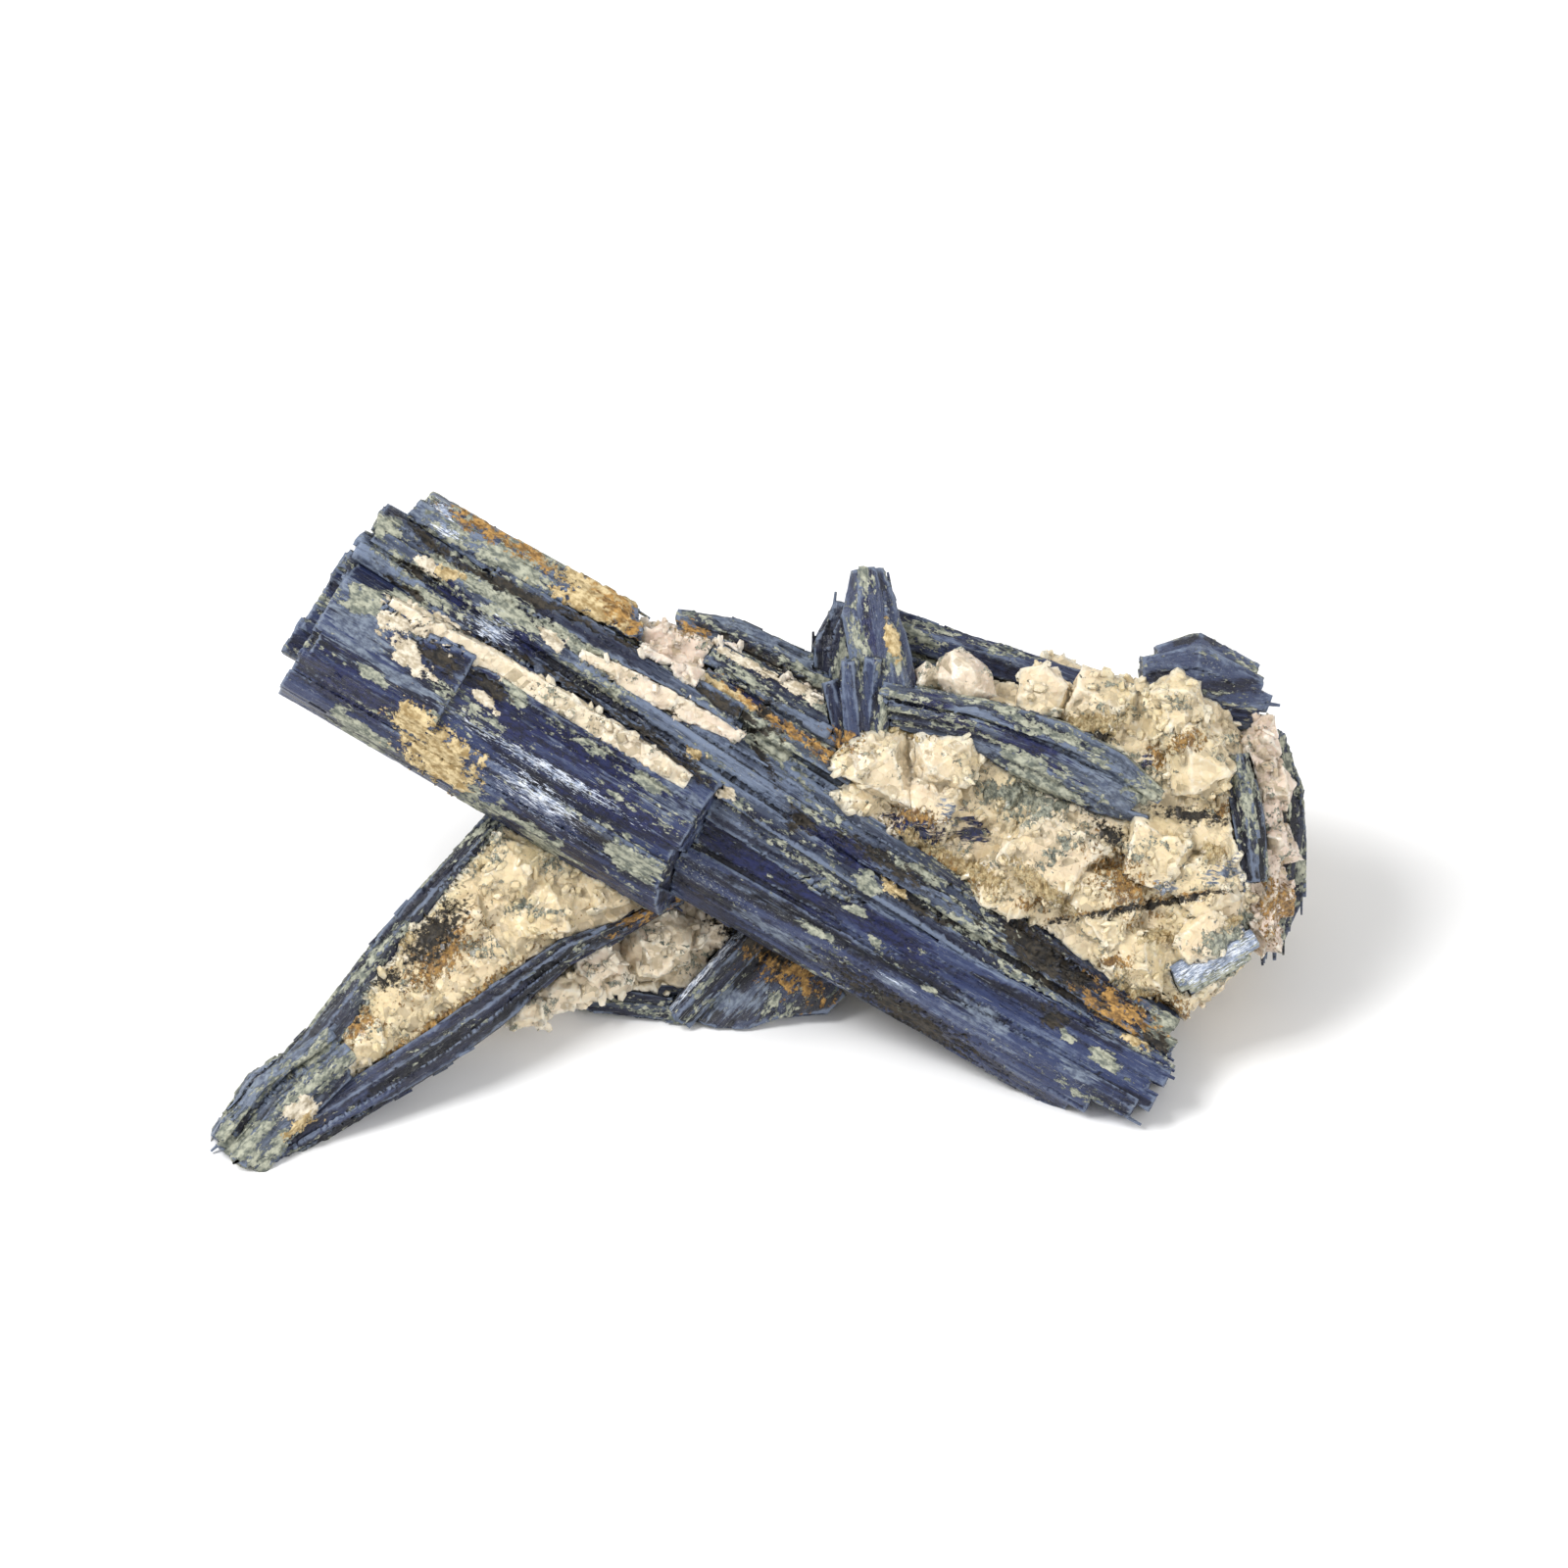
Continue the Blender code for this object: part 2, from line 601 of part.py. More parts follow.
def quartz_arm():
    """The quartz that fills the arm between its two blades."""
    section = [(0.5, -5.5), (0.5, -0.2), (0.25, 0.7), (-0.25, 0.7), (-0.5, -0.4), (-0.5, -5.5)]
    path = [(-52.6, -26.6, 5.6), (-43.0, -18.8, 2.8), (-33.5, -10.6, -0.8), (-25.0, -5.0, -3.8),
            (-13.0, -3.0, -6.5)]
    body = sweep(
        path, section, [6.4, 12.4, 17.2, 18.6, 13.0], [0.9, 1.1, 1.2, 1.2, 1.0], ((0, 0), (0, 0))
    )
    spots = []
    for x, y, n, radius in (
        (-36.2, -10.6, 0.0, 4.4), (-30.6, -4.4, -2.4, 4.4), (-27.4, -9.8, -2.8, 5.0),
        (-41.4, -18.8, 1.8, 4.0), (-34.0, -15.4, -0.4, 3.8), (-47.0, -24.4, 3.8, 3.0),
        (-20.0, -6.6, -5.0, 4.4), (-27.6, -20.4, -2.2, 3.2), (-22.0, -16.0, -4.4, 3.2),
    ):
        spots.append(((x, y, n), radius * 1.2, radius, radius * 0.62))
    return [body] + grain_row(spots, 35.0, 183, 11), QUARTZ


def quartz_foot():
    """The quartz below the crossing, which runs back under the slab and rests on its broken bottom."""
    outline = [(-21.0, -15.5), (-18.4, -11.0), (-14.0, -2.0), (-2.0, 2.0), (4.0, -6.0),
               (-1.0, -14.0), (-9.5, -20.0), (-14.0, -20.5), (-20.5, -19.6)]
    levels = [(-11.5, 0.92), (-17.0, 1.0), (-25.0, 1.0), (-33.0, 0.85)]
    meshes = [boulder(outline, levels, 193, 0.6)]
    spots = []
    for x, y, n, radius in (
        (-12.6, -13.2, -11.0, 4.8), (-18.6, -16.8, -11.0, 3.2), (-6.6, -12.4, -11.8, 3.6),
        (-20.2, -15.2, -7.4, 2.8), (-22.0, -18.2, -8.8, 3.2), (-25.2, -19.6, -7.2, 2.9),
        (-28.2, -21.4, -5.4, 2.5),
        (-9.0, -3.0, -31.0, 5.6), (-16.0, -8.0, -26.0, 5.0),
        (-3.0, -8.0, -32.0, 5.0), (-14.0, -15.0, -31.0, 4.4),
    ):
        spots.append(((x, y, n), radius * 1.25, radius, radius * 0.8))
    return meshes + grain_row(spots, 25.0, 195, 10), QUARTZ


def quartz_block():
    """The large mass of quartz at right: a deep body, with the lumps that break its surfaces."""
    outline = [
        (2.0, 4.0), (10.5, 12.0), (18.6, 16.6), (26.8, 17.0), (34.9, 16.4), (40.8, 18.0),
        (47.7, 18.0), (54.5, 15.6), (58.0, 10.0), (59.6, 0.0), (59.0, -10.5), (56.4, -16.5),
        (50.7, -20.5), (42.0, -21.0), (28.0, -17.0), (10.0, -8.0),
    ]
    levels = [
        (2.0, 0.9), (-2.0, 1.0), (-11.0, 1.0), (-22.0, 0.94), (-BLOCK_DEPTH, 0.78),
    ]
    meshes = [boulder(outline, levels, 203, 0.8)]
    front_lumps = [
        (14.0, 7.6, 2.2, 6.4), (21.4, 8.6, 2.6, 5.0), (19.0, 2.4, 2.2, 5.4), (10.0, 3.4, 1.2, 4.6),
        (34.0, -2.6, 3.2, 7.6), (29.0, -6.4, 2.4, 5.6), (40.6, -8.4, 2.8, 6.2), (46.5, -1.4, 2.8, 5.6),
        (51.0, 8.4, 3.2, 5.4), (39.6, 15.2, 1.8, 5.2), (48.0, 14.6, 2.4, 5.0), (33.0, 15.8, 1.4, 4.4),
        (44.0, -14.6, 2.6, 5.2), (51.6, -6.0, 2.4, 4.8), (53.0, -13.0, 1.6, 4.8), (50.0, -18.6, 0.0, 4.0),
    ]
    back_lumps = [
        (16.0, 5.0, -25.0, 9.0), (41.0, 11.0, -29.0, 9.0), (50.0, -2.0, -29.0, 8.6),
        (36.0, -6.0, -32.0, 9.4), (22.0, -3.0, -31.0, 8.0), (55.0, 8.0, -18.0, 7.0), (36.0, 15.4, -15.0, 7.0),
    ]
    for i, (x, y, n, radius) in enumerate(front_lumps + back_lumps):
        radii = (radius * 1.1, radius * 0.92, radius * 0.62)
        meshes.append(grain((x, y, n), radii, 205 + i, 10, 40.0 * i))
    return meshes, QUARTZ


# Each piece gives way to those before it.
PIECES = (
    quartz_vein, quartz_vein_upper, upright_blade, curved_blade, pale_plate, quartz_pebble,
    front_blade, lower_blade, long_blade,
    top_blade, dark_stub, ridge_blade_near, ridge_blade_middle, ridge_blade_far, rear_blade,
    corner_crystal, arm_upper_blade, arm_lower_blade, side_blade_inner, quartz_side,
    side_blade_outer, foot_blade, foot_plate, back_blade, arm_tip, quartz_ridge, quartz_arm,
    quartz_foot, quartz_block,
)


def grown(mesh, distance):
    """A copy of the mesh, with its faces moved outwards."""
    bm = bmesh.new()
    bm.from_mesh(mesh)
    bm.normal_update()
    moves = [v.normal * min(v.calc_shell_factor(), 2.0) * distance for v in bm.verts]
    for v, move in zip(bm.verts, moves):
        v.co += move
    return finished_mesh(bm)


def corners(meshes):
    points = [v.co for mesh in meshes for v in mesh.vertices]
    low = Vector([min(p[i] for p in points) for i in range(3)])
    high = Vector([max(p[i] for p in points) for i in range(3)])
    return low, high


def meet(a, b):
    """Whether the boxes of two meshes meet."""
    (a_low, a_high), (b_low, b_high) = corners([a]), corners([b])
    return all(a_low[i] < b_high[i] and b_low[i] < a_high[i] for i in range(3))


def carved_solids():
    """Every piece, cut back from those before it so that they touch with a hair's gap."""
    solids = []
    cutters = []
    for make in PIECES:
        parts, finish = make()
        solid = joined(parts)
        for cutter in cutters:
            if meet(solid, cutter):
                solid = shaped(solid, [cutter], "DIFFERENCE")
        solids.append((make.__name__, solid, finish))
        cutters.append(joined([grown(part, JOINT_GAP * MM) for part in parts]))
    return solids


def floor_block(lean):
    """A block whose top face is the floor, in the face-on frame."""
    bm = bmesh.new()
    bmesh.ops.create_cube(bm, size=1.0)
    side, depth = 400 * MM, 60 * MM
    middle = Matrix.Translation((0, 0, FLOOR * MM - depth / 2))
    size = Matrix.Diagonal((side, side, depth, 1))
    bmesh.ops.transform(bm, matrix=lean.inverted() @ middle @ size, verts=bm.verts[:])
    return finished_mesh(bm)


def floored(solid, lean):
    """The solid, cut off flat where it reaches below the floor."""
    if min((lean @ v.co).z for v in solid.vertices) < FLOOR * MM:
        solid = shaped(solid, [floor_block(lean)], "DIFFERENCE")
    return solid


def painted(name, finish):
    colour, roughness = finish
    material = bpy.data.materials.new(name)
    material.use_nodes = True
    shader = material.node_tree.nodes["Principled BSDF"]
    shader.inputs["Base Color"].default_value = (*colour, 1.0)
    shader.inputs["Roughness"].default_value = roughness
    shader.inputs["Metallic"].default_value = 0.0
    return material


def place(solids, lean):
    """Hangs the pieces from one empty that leans and centres them, each with its own origin."""
    points = [lean @ v.co for name, solid, finish in solids for v in solid.vertices]
    low = [min(p[i] for p in points) for i in range(3)]
    high = [max(p[i] for p in points) for i in range(3)]
    centre = Vector(((low[0] + high[0]) / 2, (low[1] + high[1]) / 2, low[2]))
    group = bpy.data.collections.new("kyanite_in_quartz")
    bpy.context.scene.collection.children.link(group)
    specimen = bpy.data.objects.new("specimen", None)
    specimen.matrix_world = Matrix.Translation(-centre) @ lean
    group.objects.link(specimen)
    for name, solid, finish in solids:
        low, high = corners([solid])
        middle = (low + high) / 2
        solid.transform(Matrix.Translation(-middle))
        solid.materials.clear()
        solid.materials.append(painted(name, finish))
        solid.name = name
        thing = bpy.data.objects.new(name, solid)
        thing.location = middle
        thing.parent = specimen
        group.objects.link(thing)


def main():
    for thing in list(bpy.data.objects):
        bpy.data.objects.remove(thing)
    lean = Matrix.Rotation(math.radians(LEAN), 4, "X")
    solids = [(name, floored(solid, lean), finish) for name, solid, finish in carved_solids()]
    place(solids, lean)


if __name__ == "__main__":
    main()
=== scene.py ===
"""Looks of a hand specimen: blue kyanite blades grown through pale quartz.

Each solid of the frame gets a finely broken surface of its own form. Geometry Nodes raise the
laths and steps of the kyanite and the broken facets of the quartz, and strew splinters and
grains over them. Procedural materials give the blue streaks, the pale and ochre crusts, the
rust and the granular quartz.
"""

import math
from collections import namedtuple

import bmesh
import bpy
import numpy as np
from mathutils import Matrix, Vector


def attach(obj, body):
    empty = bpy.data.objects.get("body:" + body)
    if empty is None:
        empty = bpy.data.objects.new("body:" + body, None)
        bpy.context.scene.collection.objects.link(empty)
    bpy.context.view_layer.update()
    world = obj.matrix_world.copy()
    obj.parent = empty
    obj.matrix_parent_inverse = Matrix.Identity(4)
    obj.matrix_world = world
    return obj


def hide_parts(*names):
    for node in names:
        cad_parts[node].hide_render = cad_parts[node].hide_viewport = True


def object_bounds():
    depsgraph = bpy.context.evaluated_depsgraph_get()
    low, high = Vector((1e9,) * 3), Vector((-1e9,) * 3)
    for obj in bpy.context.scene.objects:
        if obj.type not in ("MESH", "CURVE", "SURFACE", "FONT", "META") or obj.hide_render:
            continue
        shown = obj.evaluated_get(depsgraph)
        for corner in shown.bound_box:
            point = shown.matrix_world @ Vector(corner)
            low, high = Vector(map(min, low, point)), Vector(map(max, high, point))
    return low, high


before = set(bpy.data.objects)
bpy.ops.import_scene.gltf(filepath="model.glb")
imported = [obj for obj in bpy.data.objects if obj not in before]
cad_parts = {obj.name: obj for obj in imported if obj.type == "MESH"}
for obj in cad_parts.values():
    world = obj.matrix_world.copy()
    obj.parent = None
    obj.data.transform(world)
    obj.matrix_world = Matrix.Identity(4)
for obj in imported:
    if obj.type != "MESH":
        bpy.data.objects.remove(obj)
CAD_LOW, CAD_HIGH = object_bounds()

bl_info = {
    "name": "Kyanite specimen looks",
    "version": (1, 0, 0),
    "blender": (4, 5, 0),
    "location": "3D View > Sidebar > Kyanite",
    "description": "Dresses the solids of a kyanite specimen and sets its studio",
    "category": "Object",
}

MM = 0.001
# The specimen is drawn face on, in millimetres, then leaned back by this much and put here.
LEAN = math.radians(50.0)
FACE_PLACE = (0.000323, -0.001793, 0.025)
FACE = Matrix.Translation(FACE_PLACE) @ Matrix.Rotation(LEAN, 4, "X")
# The photograph's pixels: how many to a millimetre, and which one is the drawing's origin.
PIXELS_PER_MM = 8.587
ORIGIN_PIXEL = (780, 850)
# The heading of the main slab of blades, in degrees.
SLAB = -31.0
ROOT = "root"
# An overlay's field where it has no patch near.
FAR_FIELD = -4.0


def srgb(red, green, blue):
    """A display colour, 0 to 255 a channel, as linear light."""
    channels = []
    for value in (red, green, blue):
        share = value / 255
        channels.append(share / 12.92 if share <= 0.04045 else ((share + 0.055) / 1.055) ** 2.4)
    return (*channels, 1.0)


# Every overlay: its two tones, size of its ragged edge (mm), stretch along the grain,
# raggedness, softness, roughness, and how high it stands (mm).
Overlay = namedtuple("Overlay", "low high size stretch ragged soft rough height")
OVERLAYS = {
    # The next overlay is pale grey-blue kyanite and in part a painted sheen, where the blades catch the
    # light.
    "pale_blue_sheen": Overlay(srgb(72, 82, 104), srgb(126, 137, 152), 0.5, 10.0, 6.0, 0.35, 0.42, 0.0),
    "deep": Overlay(srgb(16, 19, 42), srgb(32, 39, 82), 0.6, 10.0, 5.5, 0.35, 0.24, 0.0),
    "pale": Overlay(srgb(98, 104, 96), srgb(176, 177, 158), 0.6, 2.0, 4.4, 0.16, 0.8, 0.12),
    "cream": Overlay(srgb(170, 156, 130), srgb(226, 216, 196), 0.8, 1.4, 5.0, 0.1, 0.5, 0.28),
    "ochre": Overlay(srgb(150, 126, 82), srgb(216, 196, 152), 0.8, 1.2, 5.0, 0.14, 0.85, 0.3),
    "rust": Overlay(srgb(112, 84, 48), srgb(190, 148, 84), 0.7, 1.6, 8.0, 0.4, 0.85, 0.0),
    # The next overlay is painted shade: near black in the seams, splits, pits, cracks and shadows of the
    # blades, which it also sinks a little.
    "dark": Overlay(srgb(16, 15, 15), srgb(62, 54, 42), 0.6, 2.6, 5.5, 0.35, 0.7, -0.35),
    # The next overlay is painted highlight: white glints and shine off the blades, in part white crushed
    # fibre.
    "painted_highlight": Overlay(srgb(150, 164, 190), srgb(232, 238, 248), 0.14, 9.0, 12.0, 0.25, 0.22, 0.0),
}
# How much steeper a raised crust's field is, so that its middle is whole.
CRUST_SLOPE = 1.7
# How much shorter the overlays' ragged edges are on quartz, along the grain.
QUARTZ_SQUEEZE = 2.2
# The values of a raised crust's ragged field between which it rises to its full height.
CRUST_RISE = (-0.1, 0.25)
# How readily pale crust forms on quartz.
QUARTZ_CRUST = -0.8
# A patch bends as it goes: how far its length and width sway, and how far out they still do.
SWAY_ALONG = 0.35
SWAY_ACROSS = 0.4
SWAY_LIMIT = 1.5
# A patch fades where the surface turns away from the viewer: from which facing and how fast.
FADE_FACING = 0.35
FADE_RATE = 2.0
# An overlay rougher than this has a gritty bump of its own.
GRITTY = 0.45

# A noise: its size along, across and out of the grain (mm), its seed, detail and roughness.
Noise = namedtuple("Noise", "size seed detail rough", defaults=(3.0, 0.6))
# The noises that shape the kyanite.
WAVER = Noise((9.0, 5.0, 5.0), 2.0, 1.0)
RIDGES = Noise((30.0, 0.7, 0.7), 5.0, 2.0)
SPLITS = Noise((26.0, 1.3, 1.3), 8.0, 2.0)
CHIPS = Noise((3.4, 0.9, 0.9), 11.0, 4.0)
SPLINTER_DRIFT = Noise((12.0, 3.0, 3.0), 19.0, 2.0)
# The noises that shape the quartz, and the crusts of both.
LUMPS = Noise((6.0, 6.0, 6.0), 1.0, 2.0)
PITS = Noise((2.2, 2.2, 2.2), 6.0, 3.0)
CRUST_LUMPS = Noise((0.9, 0.9, 0.9), 17.0, 2.0)
# The pale crust also comes and goes in drifts, this strongly.
PALE_DRIFT = Noise((13.0, 2.8, 2.8), 61.0, 2.0)
PALE_DRIFT_STRENGTH = 5.0
# The noises that streak the kyanite, each with its share in how light it is.
STREAKS = {
    "broad": (Noise((40.0, 2.6, 2.6), 1.0, 2.0), 1.5),
    "middle": (Noise((22.0, 0.9, 0.9), 2.0), 0.55),
    "fine": (Noise((9.0, 0.22, 0.22), 3.0, 4.0, 0.7), 0.6),
    "cloud": (Noise((12.0, 5.0, 5.0), 4.0), 0.9),
    "dust": (Noise((1.0, 0.5, 0.5), 5.0, 3.0, 0.75), 0.5),
}
# The noises of its worn edges, scratches and specks.
WEAR = Noise((2.4, 0.8, 0.8), 9.0, 3.0, 0.7)
SCRATCHES = Noise((5.0, 0.13, 0.13), 13.0, 4.0, 0.7)
SPECKS = Noise((0.45, 0.3, 0.3), 15.0, 4.0, 0.75)
# The noises that colour the quartz and the crusts.
WARM_DRIFT = Noise((14.0, 14.0, 14.0), 21.0, 2.0)
PINK_DRIFT = Noise((11.0, 11.0, 11.0), 25.0, 2.0)
QUARTZ_FINE = Noise((0.5, 0.5, 0.5), 28.0, 2.0, 0.7)
CRUMBLE = Noise((0.45, 0.45, 0.45), 31.0, 2.0, 0.7)
# Each overlay has a noise for its edge and one for its tones, with seeds that follow on.
EDGE_SEED = 3.0
TONES_SEED = 41.0
TONES_SIZE = (1.2, 0.7, 0.7)
# Flat facets and cells: their size (mm) and their shift.
COARSE_FACETS = (4.2, 0.0)
MIDDLE_FACETS = (1.9, 3.0)
BIG_FACETS = (2.6, 2.0)
SMALL_FACETS = (1.1, 7.0)
GRIT_FACETS = (0.7, 5.0)
GLINT_CELLS = ((0.4, 0.4, 0.4), 9.0)

# Where each effect starts and ends, and how strong it is at its start and its end.
BANDS = {
    "split step": (0.36, 0.4, -0.5, 0.0),
    "chip step": (0.32, 0.42, -0.3, 0.0),
    "pit step": (0.26, 0.36, -0.4, 0.0),
    "worn splinters": (0.0, 0.1, 0.0, 2.0),
    "drifting splinters": (0.5, 0.62, 0.1, 1.5),
    "splinters at ends": (0.2, 0.5, 1.0, 0.0),
    "skin": (0.35, 0.65),
    "dark": (1.98, 2.27),
    "light": (2.3, 2.66, 0.0, 0.9),
    "night": (1.72, 2.02, 0.85, 0.0),
    "worn": (0.05, 0.2, 0.0, 0.7),
    "scratch": (0.6, 0.68, 0.0, 0.8),
    "fleck": (0.63, 0.7, 0.0, 0.8),
    "crevice": (-0.22, -0.06, 0.85, 0.0),
    "split": (-0.8, -0.35, 0.85, 0.0),
    "warm": (0.1, 0.9),
    "pink": (0.1, 0.8),
    "clear": (0.66, 1.0, 0.0, 0.8),
    "hollow": (-1.6, -0.8, 0.5, 0.0),
    "worn quartz": (0.2, 0.4, 0.0, 0.5),
    "spark": (0.95, 0.98),
}

# The stones' tones that no user would change; the crevice and split tones are painted shade, and the
# hollow tone a stain with painted shade.
NIGHT = srgb(13, 14, 22)
FLECK = srgb(176, 182, 182)
CREVICE_SHADE = srgb(18, 19, 24)
SPLIT_SHADE = srgb(14, 15, 20)
HOLLOW_STAIN_AND_SHADE = srgb(104, 82, 54)
WORN_QUARTZ = srgb(232, 226, 210)
GLINT = srgb(246, 242, 232)
# How far each stone's bump reaches, in millimetres.
KYANITE_BUMP = 0.25
QUARTZ_BUMP = 0.8
# The clear, wet look of quartz, on the shader's own sockets.
QUARTZ_GLOSS = {
    "Subsurface Weight": 0.35,
    "Subsurface Radius": (1.0, 0.8, 0.6),
    "Subsurface Scale": 0.0012,
    "Coat Weight": 0.35,
    "Coat Roughness": 0.12,
}

# Grains and splinters: their smallest and largest sizes (mm), and the grains' turn (radians).
GRAIN_SIZES = ((0.8, 0.7, 0.4), (2.8, 2.0, 1.3))
SPLINTER_SIZES = ((0.35, 0.25, 0.9), (0.9, 0.5, 2.6))
FULL_TURN = 6.28
SPLINTER_WOBBLE = 0.08

# The studio: the floor's width, each light's place and width, the point that they face, and how
# far the camera stands to the right of and above the drawing's origin, all in metres.
FLOOR_WIDTH = 6.0
KEY_LIGHT = ((-0.5, -0.14, 0.78), 0.4)
FILL_LIGHT = ((0.6, -0.5, 0.4), 0.5)
LIT_POINT = (0, 0, 0.02)
CAMERA_SHIFT = (0.00233, 0.00582)

